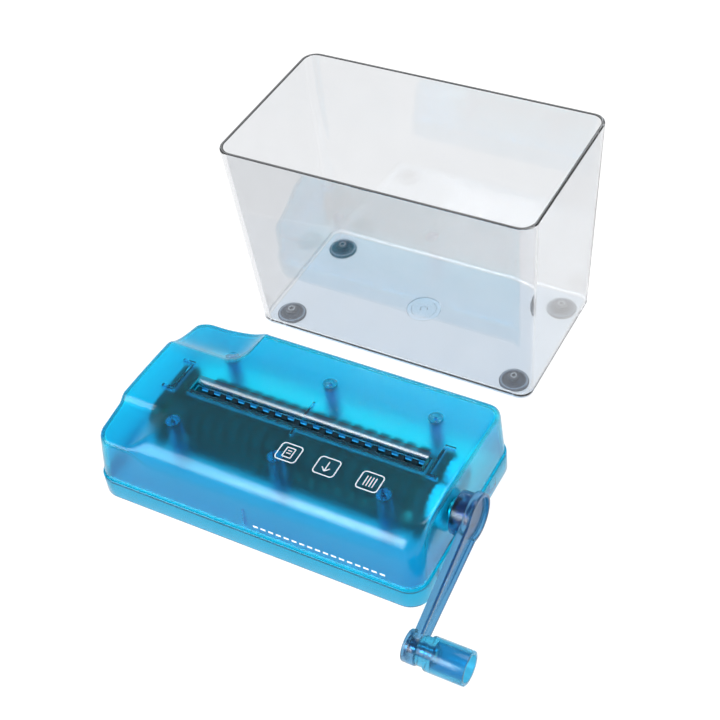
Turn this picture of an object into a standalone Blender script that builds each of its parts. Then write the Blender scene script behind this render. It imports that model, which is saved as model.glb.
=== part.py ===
"""Hand-crank mini paper shredder: a clear bin, and a shredding head standing in front of it.

Metres, +Z up. The origin is the centre of the footprint, on the surface that everything stands on.
+X is the crank's end, -Y is the side with the printed marks. The head drops over the bin's rim in use.
"""
from math import asin, cos, exp, hypot, pi, radians, sin, sqrt

import bmesh
import bpy
from mathutils import Matrix, Vector

MM = 0.001
GAP = 0.3 * MM                      # clearance between neighbouring pieces
BORE_GAP = 0.3 * MM                 # radial clearance of a shaft in its bore

# Where the two halves stand, from the centre of the whole footprint
BIN_AT = Vector((-13.555, 73.45, 0.0)) * MM
HEAD_AT = Vector((-15.585, -43.55, 0.0)) * MM

# Bin
BIN_RIM_HALF = (77.4 * MM, 43.6 * MM)
BIN_FLOOR_HALF = (72.4 * MM, 38.8 * MM)
BIN_RIM_RADIUS = 7.3 * MM
BIN_FLOOR_RADIUS = 6.0 * MM
BIN_BOTTOM = 2.2 * MM
BIN_TOP = 108.4 * MM
BIN_WALL = 1.7 * MM
BIN_FILLET = 1.6 * MM
BIN_GATE_RADIUS = 8.6 * MM
FOOT_AT = (60.7 * MM, 26.7 * MM)
FOOT_RADIUS = 7.2 * MM
FOOT_STEM_RADIUS = 1.9 * MM
FOOT_HEAD_RADIUS = 3.0 * MM
FOOT_HEAD_HEIGHT = 1.1 * MM

# Base frame of the head: a skirt that goes over the bin's rim, with a deck inside it
BASE_HALF = (81.65 * MM, 46.2 * MM)
BASE_RADIUS = 9.5 * MM
BASE_TOP = 10.6 * MM
BASE_WALL = 1.8 * MM
DECK_BOTTOM = 8.0 * MM
DECK_TOP = 10.0 * MM
RIM_GUIDE_WIDTH = 6.0 * MM
DROP_OPENING_X = (-56.0 * MM, 63.4 * MM)
DROP_OPENING_Y = (-13.5 * MM, 9.4 * MM)

# Cover of the head
COVER_BOTTOM = 11.1 * MM
COVER_STEP = 0.9 * MM               # how far the cover stands inside the base's outline
COVER_HALF = (BASE_HALF[0] - COVER_STEP, BASE_HALF[1] - COVER_STEP)
COVER_TOP = 38.5 * MM
COVER_WALL = 2.0 * MM
COVER_PLAN_RADIUS = 8.6 * MM
COVER_END_RADIUS = 2.6 * MM
COVER_BACK_RADIUS = 4.5 * MM
COVER_FRONT_RADIUS = 13.5 * MM      # the front rolls over the front cutter
FRONT_DRAFT = 0.12
BACK_DRAFT = 0.035
END_DRAFT = 0.045
CROWN_Y = -12.0 * MM                # the top is highest here and falls gently towards the back
CROWN_DROP = 1.9 * MM
CROWN_SPAN = 42.0 * MM
SHOULDER_X = (-50.0 * MM, -64.0 * MM)   # the left end of the front is lower, from here to here
SHOULDER_Y = (-17.0 * MM, -21.5 * MM)
SHOULDER_STEP = 3.0 * MM
SHOULDER_SLOPE = 0.14
SHOULDER_EDGE_RADIUS = 3.0 * MM
SCOOP_X = -40.5 * MM                # the finger scoop takes the corner behind these two lines
SCOOP_Y = 19.0 * MM
SCOOP_CORNER = 10.0 * MM
SCOOP_WALL_DEPTH = 4.8 * MM
SCOOP_WALL_REACH = 6.0 * MM
SCOOP_SLOPE = 0.1
SCOOP_EDGE_RADIUS = 1.0 * MM

# Paper slot
SLOT_X = (-52.0 * MM, 63.2 * MM)
SLOT_Y = (-4.0 * MM, 1.8 * MM)
THROAT_WALL = 1.3 * MM
SLOT_LIP = 3.8 * MM                 # radius of the slot's rolled rear edge
THROAT_BOTTOM = 34.3 * MM
GUIDE_BOTTOM = 32.4 * MM            # fingers on the throat's rear wall reach between the rear discs
GUIDE_WIDTH = 2.9 * MM
GUIDE_BACK = 2.8 * MM
CROSS_RIB_X = (2.1 * MM, 3.1 * MM)
CROSS_RIB_Y = ((3.0 * MM, 12.0 * MM), (-9.0 * MM, -5.2 * MM))
FRONT_RIB = ((-4.1 * MM, -3.0 * MM), (-43.6 * MM, -41.2 * MM), (11.4 * MM, 21.0 * MM))

# Screw bosses
BOSS_X = (-49.0 * MM, 3.0 * MM, 55.0 * MM)
BOSS_Y = (-22.6 * MM, 25.4 * MM)
BOSS_RADIUS = 3.3 * MM
BOSS_BORE_RADIUS = 1.5 * MM
BOSS_BORE_TOP = 24.0 * MM
SCREW_SHANK_RADIUS = 1.2 * MM
SCREW_HEAD_RADIUS = 2.8 * MM
SCREW_HEAD_HEIGHT = 1.7 * MM
SCREW_TIP = 22.0 * MM

# The two cutters
AXIS_Z = 25.2 * MM
FRONT_AXIS_Y = -9.85 * MM
SHAFT_SPACING = 15.2 * MM
REAR_AXIS_Y = FRONT_AXIS_Y + SHAFT_SPACING
SHAFT_RADIUS = 3.0 * MM
DISC_RADIUS = 8.4 * MM
CORE_RADIUS = 6.2 * MM
DISC_WIDTH = 2.9 * MM
DISC_PITCH = 6.4 * MM
FRONT_DISCS = 18
REAR_DISCS = 17
FIRST_FRONT_DISC = -48.8 * MM
FIRST_REAR_DISC = FIRST_FRONT_DISC + DISC_PITCH / 2
CORE_X = (-59.0 * MM, 63.5 * MM)
SHAFT_LEFT = -67.5 * MM
FRONT_SHAFT_RIGHT = 88.0 * MM
REAR_SHAFT_RIGHT = 77.4 * MM

# Bearings
PLATE_LEFT_X = (-64.9 * MM, -60.9 * MM)
PLATE_RIGHT_X = (65.4 * MM, 69.4 * MM)
PLATE_Y = (-20.0 * MM, 15.5 * MM)
PLATE_TOP = 33.6 * MM
PLATE_CHAMFER = 5.0 * MM
BUSH_RADIUS = 4.2 * MM
BUSH_FLANGE_RADIUS = 5.6 * MM
BUSH_FLANGE = 0.9 * MM
CLIP_RADIUS = 5.0 * MM
CLIP_WIDTH = 0.8 * MM
CRANK_BUSH_X = (77.2 * MM, 80.75 * MM)
CRANK_BUSH_FLANGE = 0.65 * MM
CRANK_BUSH_FLANGE_RADIUS = 6.0 * MM

# Gears, one to one
GEAR_X = (70.6 * MM, 75.6 * MM)
GEAR_TEETH = 16
GEAR_TIP_RADIUS = 8.25 * MM
GEAR_ROOT_RADIUS = 6.6 * MM
GEAR_ROOT_FILL = 0.50               # share of a pitch that a tooth takes at its root
GEAR_TIP_FILL = 0.22                # and at its tip

# Stripper combs
COMB_BAR_DEPTH = 4.4 * MM
COMB_BAR_TOP = 14.6 * MM
COMB_BAR_X = (-55.5 * MM, 62.9 * MM)
COMB_FINGER_WIDTH = 2.4 * MM
COMB_CLEARANCE = 0.45 * MM
COMB_FROM_OPENING = 0.4 * MM

# Crank and knob
CRANK_LENGTH = 59.0 * MM
CRANK_DIP = radians(17.35)          # how far the arm points down when the knob rests on the table
CRANK_HUB_X = (81.7 * MM, 87.9 * MM)
CRANK_HUB_RADIUS = 9.6 * MM
CRANK_HUB_WALL = 1.6 * MM
CRANK_SOCKET_RADIUS = 4.9 * MM
CRANK_PLATE_X = (87.6 * MM, 91.4 * MM)
CRANK_HEAD_RADIUS = 11.0 * MM
CRANK_END_RADIUS = 6.9 * MM
CRANK_ROOT_HALF = 8.2 * MM
CRANK_TIP_HALF = 5.4 * MM
CRANK_RECESS = 1.5 * MM
CRANK_RECESS_RIM = 1.7 * MM
CRANK_END_X = (85.7 * MM, 91.4 * MM)
CRANK_END_POCKET_RADIUS = 4.9 * MM
CRANK_END_POCKET_DEPTH = 2.4 * MM
PIN_RADIUS = 2.5 * MM
PIN_HEAD_RADIUS = 4.2 * MM
PIN_HEAD = 1.5 * MM
KNOB_NECK_RADIUS = 6.3 * MM
KNOB_RADIUS = 7.3 * MM
KNOB_X = (91.7 * MM, 112.8 * MM)
KNOB_NECK_LENGTH = 3.6 * MM
KNOB_FLOOR_X = 98.2 * MM
KNOB_HOLLOW_RADIUS = 5.7 * MM
KNOB_EDGE = 0.8 * MM

# Facets of round pieces
FINE = 28
ROUND = 20
SMALL = 12
FOOT_STEPS = 16
CUTTER_STEPS = 14


# ---------------------------------------------------------------- scene, materials and objects

def clear_scene():
    for obj in list(bpy.data.objects):
        bpy.data.objects.remove(obj, do_unlink=True)


def make_collection(name):
    collection = bpy.data.collections.new(name)
    bpy.context.scene.collection.children.link(collection)
    return collection


def make_material(name, colour, roughness, metallic=0.0, alpha=1.0):
    mat = bpy.data.materials.new(name)
    mat.use_nodes = True
    shader = mat.node_tree.nodes["Principled BSDF"]
    shader.inputs["Base Color"].default_value = (*colour, 1.0)
    shader.inputs["Roughness"].default_value = roughness
    shader.inputs["Metallic"].default_value = metallic
    shader.inputs["Alpha"].default_value = alpha
    return mat


def make_empty(name, location, parent=None, rotation_x=0.0):
    empty = bpy.data.objects.new(name, None)
    PARTS.objects.link(empty)
    empty.location = location
    empty.rotation_euler.x = rotation_x
    empty.parent = parent
    return empty


def make_object(name, bm, mat=None, parent=None, location=(0.0, 0.0, 0.0)):
    bmesh.ops.recalc_face_normals(bm, faces=bm.faces)
    mesh = bpy.data.meshes.new(name)
    bm.to_mesh(mesh)
    bm.free()
    mesh.shade_smooth()
    mesh.set_sharp_from_angle(angle=radians(32))
    obj = bpy.data.objects.new(name, mesh)
    if mat is None:
        CUTTERS.objects.link(obj)
        obj.hide_render = True
        obj.display_type = "WIRE"
    else:
        PARTS.objects.link(obj)
        mesh.materials.append(mat)
    obj.location = location
    obj.parent = parent
    return obj


def boolean(obj, other, operation):
    mod = obj.modifiers.new(f"{operation.lower()}_{other.name}", "BOOLEAN")
    mod.operation = operation
    mod.solver = "EXACT"
    mod.object = other


# ---------------------------------------------------------------- shapes

def add_cylinder(bm, radius, start, end, centre=(0.0, 0.0), axis="X", segments=ROUND):
    """A capped cylinder along X or Z, from start to end, round the centre given in the other two axes."""
    turn = Matrix.Rotation(pi / 2, 4, "Y") if axis == "X" else Matrix.Identity(4)
    middle = (start + end) / 2
    if axis == "X":
        place = Matrix.Translation((middle, centre[0], centre[1]))
    else:
        place = Matrix.Translation((centre[0], centre[1], middle))
    bmesh.ops.create_cone(bm, cap_ends=True, segments=segments, radius1=radius, radius2=radius,
                          depth=end - start, matrix=place @ turn)


def add_box(bm, x, y, z):
    size = Matrix.Diagonal((x[1] - x[0], y[1] - y[0], z[1] - z[0], 1.0))
    middle = Matrix.Translation(((x[0] + x[1]) / 2, (y[0] + y[1]) / 2, (z[0] + z[1]) / 2))
    bmesh.ops.create_cube(bm, size=1.0, matrix=middle @ size)


def add_prism(bm, outline, start, end, axis="Z"):
    """An outline extruded along Z (points are x, y) or along X (points are y, z)."""
    if axis == "Z":
        corners = [bm.verts.new((a, b, start)) for a, b in outline]
        step = Vector((0.0, 0.0, end - start))
    else:
        corners = [bm.verts.new((start, a, b)) for a, b in outline]
        step = Vector((end - start, 0.0, 0.0))
    face = bm.faces.new(corners)
    extruded = bmesh.ops.extrude_face_region(bm, geom=[face])
    moved = [v for v in extruded["geom"] if isinstance(v, bmesh.types.BMVert)]
    bmesh.ops.translate(bm, verts=moved, vec=step)


def arc(centre, radius, start, end, steps):
    """Points of an arc, both ends included, angles in degrees."""
    angles = [radians(start + (end - start) * i / steps) for i in range(steps + 1)]
    return [(centre[0] + radius * cos(a), centre[1] + radius * sin(a)) for a in angles]


def rounded_rectangle(half, radius, steps=6):
    cx = half[0] - radius
    cy = half[1] - radius
    corners = (((cx, cy), 0), ((-cx, cy), 90), ((-cx, -cy), 180), ((cx, -cy), 270))
    points = []
    for centre, angle in corners:
        points += arc(centre, radius, angle, angle + 90, steps)
    return points


def lathe_x(name, profile, mat, parent, steps=ROUND, closed=False):
    """A piece turned about X. The profile lists (x, radius) from left to right down its outer side."""
    bm = bmesh.new()
    verts = [bm.verts.new((radius, 0.0, -x)) for x, radius in profile]
    for first, second in zip(verts, verts[1:]):
        bm.edges.new((first, second))
    if closed:
        bm.edges.new((verts[-1], verts[0]))
    mesh = bpy.data.meshes.new(name)
    bm.to_mesh(mesh)
    bm.free()
    mesh.materials.append(mat)
    obj = bpy.data.objects.new(name, mesh)
    PARTS.objects.link(obj)
    obj.parent = parent
    obj.rotation_euler = (0.0, -pi / 2, 0.0)
    turn = obj.modifiers.new("turn", "SCREW")
    turn.axis = "Z"
    turn.steps = steps
    turn.render_steps = steps
    turn.use_merge_vertices = True
    turn.merge_threshold = 0.00001
    turn.use_smooth_shade = False
    return obj


def ring_profile(start, end, inner, outer):
    return [(start, outer), (end, outer), (end, inner), (start, inner)]


# ---------------------------------------------------------------- bin

def bin_ring(bm, half, radius, z):
    return [bm.verts.new((x, y, z)) for x, y in rounded_rectangle(half, radius, 5)]


def bridge(bm, lower, upper):
    count = len(lower)
    for i in range(count):
        j = (i + 1) % count
        bm.faces.new((lower[i], lower[j], upper[j], upper[i]))


def make_bin():
    """A drafted tub: an open surface given its wall by Solidify, with holes for the feet."""
    bm = bmesh.new()
    rings = []
    for step in range(4):
        angle = pi / 2 * step / 3
        inset = BIN_FILLET * (1 - sin(angle))
        half = (BIN_FLOOR_HALF[0] - inset, BIN_FLOOR_HALF[1] - inset)
        z = BIN_BOTTOM + BIN_FILLET * (1 - cos(angle))
        rings.append(bin_ring(bm, half, BIN_FLOOR_RADIUS - inset, z))
    rings.append(bin_ring(bm, BIN_RIM_HALF, BIN_RIM_RADIUS, BIN_TOP))
    for lower, upper in zip(rings, rings[1:]):
        bridge(bm, lower, upper)
    bm.faces.new(list(reversed(rings[0])))
    tub = make_object("bin", bm, CLEAR, BIN_FRAME)
    shell = tub.modifiers.new("wall", "SOLIDIFY")
    shell.thickness = BIN_WALL
    shell.offset = -1.0
    shell.use_even_offset = True

    cuts = bmesh.new()
    for x, y in foot_places():
        add_cylinder(cuts, FOOT_STEM_RADIUS + BORE_GAP, -1 * MM, 8 * MM, (x, y), "Z", SMALL)
    add_cylinder(cuts, BIN_GATE_RADIUS, 1 * MM, BIN_BOTTOM + 0.5 * MM, (0.0, 0.0), "Z", ROUND)
    boolean(tub, make_object("bin_cuts", cuts, None, BIN_FRAME), "DIFFERENCE")


def foot_places():
    return [(sx * FOOT_AT[0], sy * FOOT_AT[1]) for sy in (-1, 1) for sx in (-1, 1)]


def make_foot(index, place):
    """A rubber foot: a disc under the floor, a stem through it and a head that holds it from inside."""
    top = BIN_BOTTOM - GAP
    head = BIN_BOTTOM + BIN_WALL + GAP
    bevel = 0.5 * MM
    profile = [(0.0, 0.0), (0.0, FOOT_RADIUS - bevel), (bevel, FOOT_RADIUS),
               (top - bevel, FOOT_RADIUS), (top, FOOT_RADIUS - bevel), (top, FOOT_STEM_RADIUS),
               (head, FOOT_STEM_RADIUS), (head, FOOT_HEAD_RADIUS),
               (head + FOOT_HEAD_HEIGHT * 0.5, FOOT_HEAD_RADIUS),
               (head + FOOT_HEAD_HEIGHT, FOOT_HEAD_RADIUS * 0.7), (head + FOOT_HEAD_HEIGHT, 0.0)]
    foot = lathe_x(f"bin_foot_{index}", profile, RUBBER, BIN_FRAME, FOOT_STEPS)
    foot.rotation_euler = (pi, 0.0, 0.0)
    foot.location = (place[0], place[1], 0.0)


# ---------------------------------------------------------------- base frame

def boss_places():
    return [(x, y) for y in BOSS_Y for x in BOSS_X]


def make_base_frame():
    bm = bmesh.new()
    add_prism(bm, rounded_rectangle(BASE_HALF, BASE_RADIUS), 0.0, BASE_TOP)
    base = make_object("base_frame", bm, BLUE, HEAD_FRAME)

    inner = (BASE_HALF[0] - BASE_WALL, BASE_HALF[1] - BASE_WALL)
    pockets = bmesh.new()
    add_prism(pockets, rounded_rectangle(inner, BASE_RADIUS - BASE_WALL), -1 * MM, DECK_BOTTOM)
    add_prism(pockets, rounded_rectangle(inner, BASE_RADIUS - BASE_WALL), DECK_TOP, BASE_TOP + 1 * MM)
    boolean(base, make_object("base_pockets", pockets, None, HEAD_FRAME), "DIFFERENCE")

    guides = bmesh.new()
    guide_tip = BIN_RIM_HALF[0] + 0.4 * MM
    for side in (-1, 1):
        for y in (-25 * MM, 25 * MM):
            x = sorted((side * guide_tip, side * (BASE_HALF[0] - BASE_WALL / 2)))
            add_box(guides, x, (y - RIM_GUIDE_WIDTH / 2, y + RIM_GUIDE_WIDTH / 2),
                    (1.5 * MM, (DECK_BOTTOM + DECK_TOP) / 2))
    boolean(base, make_object("base_rim_guides", guides, None, HEAD_FRAME), "UNION")

    holes = bmesh.new()
    add_box(holes, DROP_OPENING_X, DROP_OPENING_Y, (6 * MM, 12 * MM))
    for place in boss_places():
        add_cylinder(holes, SCREW_SHANK_RADIUS + 0.4 * MM, 6 * MM, 12 * MM, place, "Z", SMALL)
    boolean(base, make_object("base_holes", holes, None, HEAD_FRAME), "DIFFERENCE")


# ---------------------------------------------------------------- cover

def smooth_step(value, start, end):
    t = min(max((value - start) / (end - start), 0.0), 1.0)
    return t * t * (3 - 2 * t)


def shoulder(x):
    """0 over the cutters, 1 on the lower left end."""
    return smooth_step(x, *SHOULDER_X)


def shoulder_drop(y):
    slope = SHOULDER_SLOPE * max(SHOULDER_Y[1] - y, 0.0)
    return SHOULDER_STEP * smooth_step(y, *SHOULDER_Y) + slope


def scoop_reach(x, y):
    """How far a point lies inside the scoop's rim, 0 outside it."""
    dx = SCOOP_X - x
    dy = y - SCOOP_Y
    if dx < SCOOP_CORNER and dy < SCOOP_CORNER:
        return max(SCOOP_CORNER - hypot(SCOOP_CORNER - dx, SCOOP_CORNER - dy), 0.0)
    return max(min(dx, dy), 0.0)


def scoop_depth(x, y):
    reach = scoop_reach(x, y)
    return SCOOP_WALL_DEPTH * (1 - exp(-reach / SCOOP_WALL_REACH)) + SCOOP_SLOPE * reach


def top_height(x, y):
    """Height of the cover's upper surface, before its edges are rounded."""
    crown = CROWN_DROP * ((y - CROWN_Y) / CROWN_SPAN) ** 2
    return COVER_TOP - crown - shoulder(x) * shoulder_drop(y) - scoop_depth(x, y)


def end_inset(radius, from_end):
    """How far a rounded end draws a surface in, at this distance from the end wall."""
    if from_end >= radius:
        return 0.0
    return radius - sqrt(radius ** 2 - (radius - from_end) ** 2)


def cover_section(x):
    """The cover's outer surface at x, as (y, z) points from the back wall's foot to the front wall's."""
    from_end = COVER_HALF[0] - abs(x)
    wall = COVER_HALF[1] - end_inset(COVER_PLAN_RADIUS, from_end)
    lowered = end_inset(COVER_END_RADIUS, from_end)
    scooped = smooth_step(x, SCOOP_X + 1 * MM, SCOOP_X - 3 * MM)
    back_radius = COVER_BACK_RADIUS + (SCOOP_EDGE_RADIUS - COVER_BACK_RADIUS) * scooped
    front_radius = COVER_FRONT_RADIUS + (SHOULDER_EDGE_RADIUS - COVER_FRONT_RADIUS) * shoulder(x)

    height = COVER_TOP - COVER_BOTTOM
    back_wall = wall - BACK_DRAFT * height
    back_arc = back_wall - back_radius
    back_z = top_height(x, back_arc) - lowered - back_radius
    front_wall = -wall + FRONT_DRAFT * (height - front_radius)
    front_arc = front_wall + front_radius
    front_z = top_height(x, front_arc) - lowered - front_radius

    points = [(wall, COVER_BOTTOM)]
    points += arc((back_arc, back_z), back_radius, 0, 90, 4)
    for t in (0.25, 0.5, 0.75):
        y = back_arc + (SCOOP_Y - back_arc) * t
        points.append((y, top_height(x, y) - lowered))
    for y in (SCOOP_Y, 10 * MM, CROWN_Y, SHOULDER_Y[0], sum(SHOULDER_Y) / 2, SHOULDER_Y[1]):
        points.append((y, top_height(x, y) - lowered))
    points += arc((front_arc, front_z), front_radius, 90, 180, 7)
    points.append((-wall, COVER_BOTTOM))
    return points


def cover_stations():
    """Positions along X: close together where the ends, the shoulder and the scoop turn."""
    ends = [end * MM for end in (0.0, 0.3, 1.0, 2.6, 5.2, 8.6)]
    left = [-COVER_HALF[0] + e for e in ends] + [SHOULDER_X[1]]
    turn = [SHOULDER_X[1] + (SHOULDER_X[0] - SHOULDER_X[1]) * t for t in (0.25, 0.5, 0.75, 1.0)]
    scoop = [SCOOP_X - 6 * MM, SCOOP_X - 3 * MM, SCOOP_X, SCOOP_X + 1 * MM]
    right = [COVER_HALF[0] - e for e in reversed(ends)]
    return left + turn + scoop + right


def cover_point(x, y, z):
    """A section's point in space: the ends lean in a little as they rise."""
    near_end = 1 - min((COVER_HALF[0] - abs(x)) / COVER_PLAN_RADIUS, 1.0)
    lean = END_DRAFT * (z - COVER_BOTTOM) * near_end
    return (x - lean if x > 0 else x + lean, y, z)


def make_cover():
    bm = bmesh.new()
    rows = [[bm.verts.new(cover_point(x, y, z)) for y, z in cover_section(x)] for x in cover_stations()]
    for left, right in zip(rows, rows[1:]):
        for i in range(len(left) - 1):
            bm.faces.new((left[i], left[i + 1], right[i + 1], right[i]))
    bm.faces.new(list(reversed(rows[0])))
    bm.faces.new(rows[-1])
    bmesh.ops.triangulate(bm, faces=bm.faces)
    cover = make_object("top_cover", bm, BLUE, HEAD_FRAME)
    shell = cover.modifiers.new("wall", "SOLIDIFY")
    shell.thickness = COVER_WALL
    shell.offset = -1.0
    shell.use_even_offset = True
    boolean(cover, cover_additions(), "UNION")
    boolean(cover, cover_ribs(), "UNION")
    boolean(cover, cover_cuts(), "DIFFERENCE")


def cover_additions():
    """What is moulded under the cover: the bosses, the slot's throat and the end ribs."""
    bm = bmesh.new()
    inside = COVER_WALL / 2
    for x, y in boss_places():
        add_cylinder(bm, BOSS_RADIUS, DECK_TOP + GAP, top_height(x, y) - inside, (x, y), "Z", SMALL)
    throat_top = top_height(0.0, SLOT_Y[1]) - inside
    add_box(bm, (SLOT_X[0] - THROAT_WALL, SLOT_X[1] + THROAT_WALL),
            (SLOT_Y[0] - THROAT_WALL, SLOT_Y[1] + THROAT_WALL), (THROAT_BOTTOM, throat_top))
    rib_top = top_height(0.0, 12 * MM) - inside
    for web, tip in ((-59.6 * MM, -66.0 * MM), (66.0 * MM, 71.0 * MM)):
        add_prism(bm, rib_outline(web, tip), THROAT_BOTTOM, rib_top)
    return make_object("cover_additions", bm, None, HEAD_FRAME)


def cover_ribs():
    """The paper guide's fingers under the slot's rear edge, and the thin ribs beside the slot and in front."""
    bm = bmesh.new()
    for index in range(FRONT_DISCS):
        middle = FIRST_FRONT_DISC + index * DISC_PITCH
        add_box(bm, (middle - GUIDE_WIDTH / 2, middle + GUIDE_WIDTH / 2),
                (SLOT_Y[1] - 0.2 * MM, GUIDE_BACK), (GUIDE_BOTTOM, THROAT_BOTTOM + 1 * MM))
    rib_top = top_height(0.0, 12 * MM) - COVER_WALL / 2
    for span in CROSS_RIB_Y:
        add_box(bm, CROSS_RIB_X, span, (THROAT_BOTTOM + 0.3 * MM, rib_top))
    add_box(bm, *FRONT_RIB)
    return make_object("cover_ribs", bm, None, HEAD_FRAME)


def rib_outline(web, tip):
    """A channel in plan: a web along Y with two flanges that point outwards."""
    thick = 1.4 * MM if tip > web else -1.4 * MM
    near = -6.4 * MM
    far = 12.6 * MM
    flange = 1.4 * MM
    points = [(web, near), (tip, near), (tip, near + flange), (web + thick, near + flange),
              (web + thick, far - flange), (tip, far - flange), (tip, far), (web, far)]
    return points if tip > web else list(reversed(points))


def slot_outline():
    """The slot in section, its rear edge rolled over."""
    above = COVER_TOP + 2 * MM
    low = GUIDE_BOTTOM - 1 * MM
    back = SLOT_Y[1] + SLOT_LIP
    centre = (back, top_height(0.0, back) + 0.05 * MM - SLOT_LIP)
    roll = arc(centre, SLOT_LIP, 180, 90, 6)
    return [(SLOT_Y[0], low), (SLOT_Y[1], low)] + roll + [(back, above), (SLOT_Y[0], above)]


def cover_cuts():
    bm = bmesh.new()
    add_prism(bm, slot_outline(), SLOT_X[0], SLOT_X[1], "X")
    for place in boss_places():
        add_cylinder(bm, BOSS_BORE_RADIUS, DECK_TOP - 1 * MM, BOSS_BORE_TOP, place, "Z", SMALL)
    add_cylinder(bm, BUSH_RADIUS + BORE_GAP, 76 * MM, 83 * MM, (FRONT_AXIS_Y, AXIS_Z), "X", ROUND)
    return make_object("cover_cuts", bm, None, HEAD_FRAME)


def make_screw(index, place):
    """A self-tapping screw from below: a domed head under the deck and a shank up into a boss."""
    head = DECK_BOTTOM - GAP
    low = head - SCREW_HEAD_HEIGHT
    profile = [(low, 0.0), (low, SCREW_HEAD_RADIUS * 0.6), (low + 0.6 * MM, SCREW_HEAD_RADIUS),
               (head, SCREW_HEAD_RADIUS), (head, SCREW_SHANK_RADIUS),
               (SCREW_TIP - 1.5 * MM, SCREW_SHANK_RADIUS), (SCREW_TIP, 0.0)]
    screw = lathe_x(f"cover_screw_{index}", profile, STEEL, HEAD_FRAME, SMALL)
    screw.rotation_euler = (pi, 0.0, 0.0)
    screw.location = (place[0], place[1], 0.0)


# ---------------------------------------------------------------- bearings

def make_plate(name, span):
    low = DECK_TOP + GAP
    outline = [(PLATE_Y[0], low), (PLATE_Y[1], low), (PLATE_Y[1], PLATE_TOP - PLATE_CHAMFER),
               (PLATE_Y[1] - PLATE_CHAMFER, PLATE_TOP), (PLATE_Y[0] + PLATE_CHAMFER, PLATE_TOP),
               (PLATE_Y[0], PLATE_TOP - PLATE_CHAMFER)]
    bm = bmesh.new()
    add_prism(bm, outline, span[0], span[1], "X")
    plate = make_object(name, bm, DARK, HEAD_FRAME)
    holes = bmesh.new()
    for y in (FRONT_AXIS_Y, REAR_AXIS_Y):
        add_cylinder(holes, BUSH_RADIUS + BORE_GAP, span[0] - 1 * MM, span[1] + 1 * MM, (y, AXIS_Z))
    boolean(plate, make_object(f"{name}_holes", holes, None, HEAD_FRAME), "DIFFERENCE")


def make_bush(name, span, inner_side, parent):
    """A flanged bush: the barrel fills the plate, the flange faces the cutters."""
    bore = SHAFT_RADIUS + BORE_GAP
    if inner_side > 0:
        flange = (span[1] + GAP, span[1] + GAP + BUSH_FLANGE)
        profile = [(span[0], BUSH_RADIUS), (flange[0], BUSH_RADIUS), (flange[0], BUSH_FLANGE_RADIUS),
                   (flange[1], BUSH_FLANGE_RADIUS), (flange[1], bore), (span[0], bore)]
    else:
        flange = (span[0] - GAP - BUSH_FLANGE, span[0] - GAP)
        profile = [(flange[0], BUSH_FLANGE_RADIUS), (flange[1], BUSH_FLANGE_RADIUS),
                   (flange[1], BUSH_RADIUS), (span[1], BUSH_RADIUS), (span[1], bore), (flange[0], bore)]
    lathe_x(name, profile, BRASS, parent, ROUND, closed=True)


def make_crank_bush():
    """The black bush that carries the crank's end of the shaft through the cover's wall."""
    start, end = CRANK_BUSH_X
    bore = SHAFT_RADIUS + BORE_GAP
    face = end + CRANK_BUSH_FLANGE
    profile = [(start, BUSH_RADIUS), (end, BUSH_RADIUS), (end, CRANK_BUSH_FLANGE_RADIUS),
               (face, CRANK_BUSH_FLANGE_RADIUS), (face, bore), (start, bore)]
    lathe_x("crank_bush", profile, DARK, FRONT_FRAME, ROUND, closed=True)


def make_clip(name, start, parent):
    profile = ring_profile(start, start + CLIP_WIDTH, SHAFT_RADIUS + BORE_GAP, CLIP_RADIUS)
    lathe_x(name, profile, STEEL, parent, SMALL, closed=True)


# ---------------------------------------------------------------- cutters, gears and combs

def make_shaft(name, right, parent):
    bevel = 0.4 * MM
    profile = [(SHAFT_LEFT, 0.0), (SHAFT_LEFT, SHAFT_RADIUS - bevel), (SHAFT_LEFT + bevel, SHAFT_RADIUS),
               (right - bevel, SHAFT_RADIUS), (right, SHAFT_RADIUS - bevel), (right, 0.0)]
    lathe_x(name, profile, STEEL, parent, CUTTER_STEPS)


def make_cutter(name, first, count, parent):
    """A sleeve of cutting discs with grooves between them, for the other cutter's discs."""
    profile = [(CORE_X[0], CORE_RADIUS)]
    for index in range(count):
        middle = first + index * DISC_PITCH
        start = middle - DISC_WIDTH / 2
        end = middle + DISC_WIDTH / 2
        profile += [(start, CORE_RADIUS), (start, DISC_RADIUS), (end, DISC_RADIUS), (end, CORE_RADIUS)]
    bore = SHAFT_RADIUS + BORE_GAP
    profile += [(CORE_X[1], CORE_RADIUS), (CORE_X[1], bore), (CORE_X[0], bore)]
    lathe_x(name, profile, CUTTER, parent, CUTTER_STEPS, closed=True)


def gear_outline(phase):
    """A spur gear's outline with plain tapered teeth, (y, z) round the shaft."""
    pitch = 2 * pi / GEAR_TEETH
    points = []
    for tooth in range(GEAR_TEETH):
        middle = pitch * (tooth + phase)
        for side, radius, fill in ((-1, GEAR_ROOT_RADIUS, GEAR_ROOT_FILL), (-1, GEAR_TIP_RADIUS, GEAR_TIP_FILL),
                                   (1, GEAR_TIP_RADIUS, GEAR_TIP_FILL), (1, GEAR_ROOT_RADIUS, GEAR_ROOT_FILL)):
            angle = middle + side * pitch * fill / 2
            points.append((radius * cos(angle), radius * sin(angle)))
    return points


def make_gear(name, phase, parent):
    bm = bmesh.new()
    add_prism(bm, gear_outline(phase), GEAR_X[0], GEAR_X[1], "X")
    gear = make_object(name, bm, NYLON, parent)
    bore = bmesh.new()
    add_cylinder(bore, SHAFT_RADIUS + BORE_GAP, GEAR_X[0] - 1 * MM, GEAR_X[1] + 1 * MM)
    boolean(gear, make_object(f"{name}_bore", bore, None, parent), "DIFFERENCE")


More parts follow.
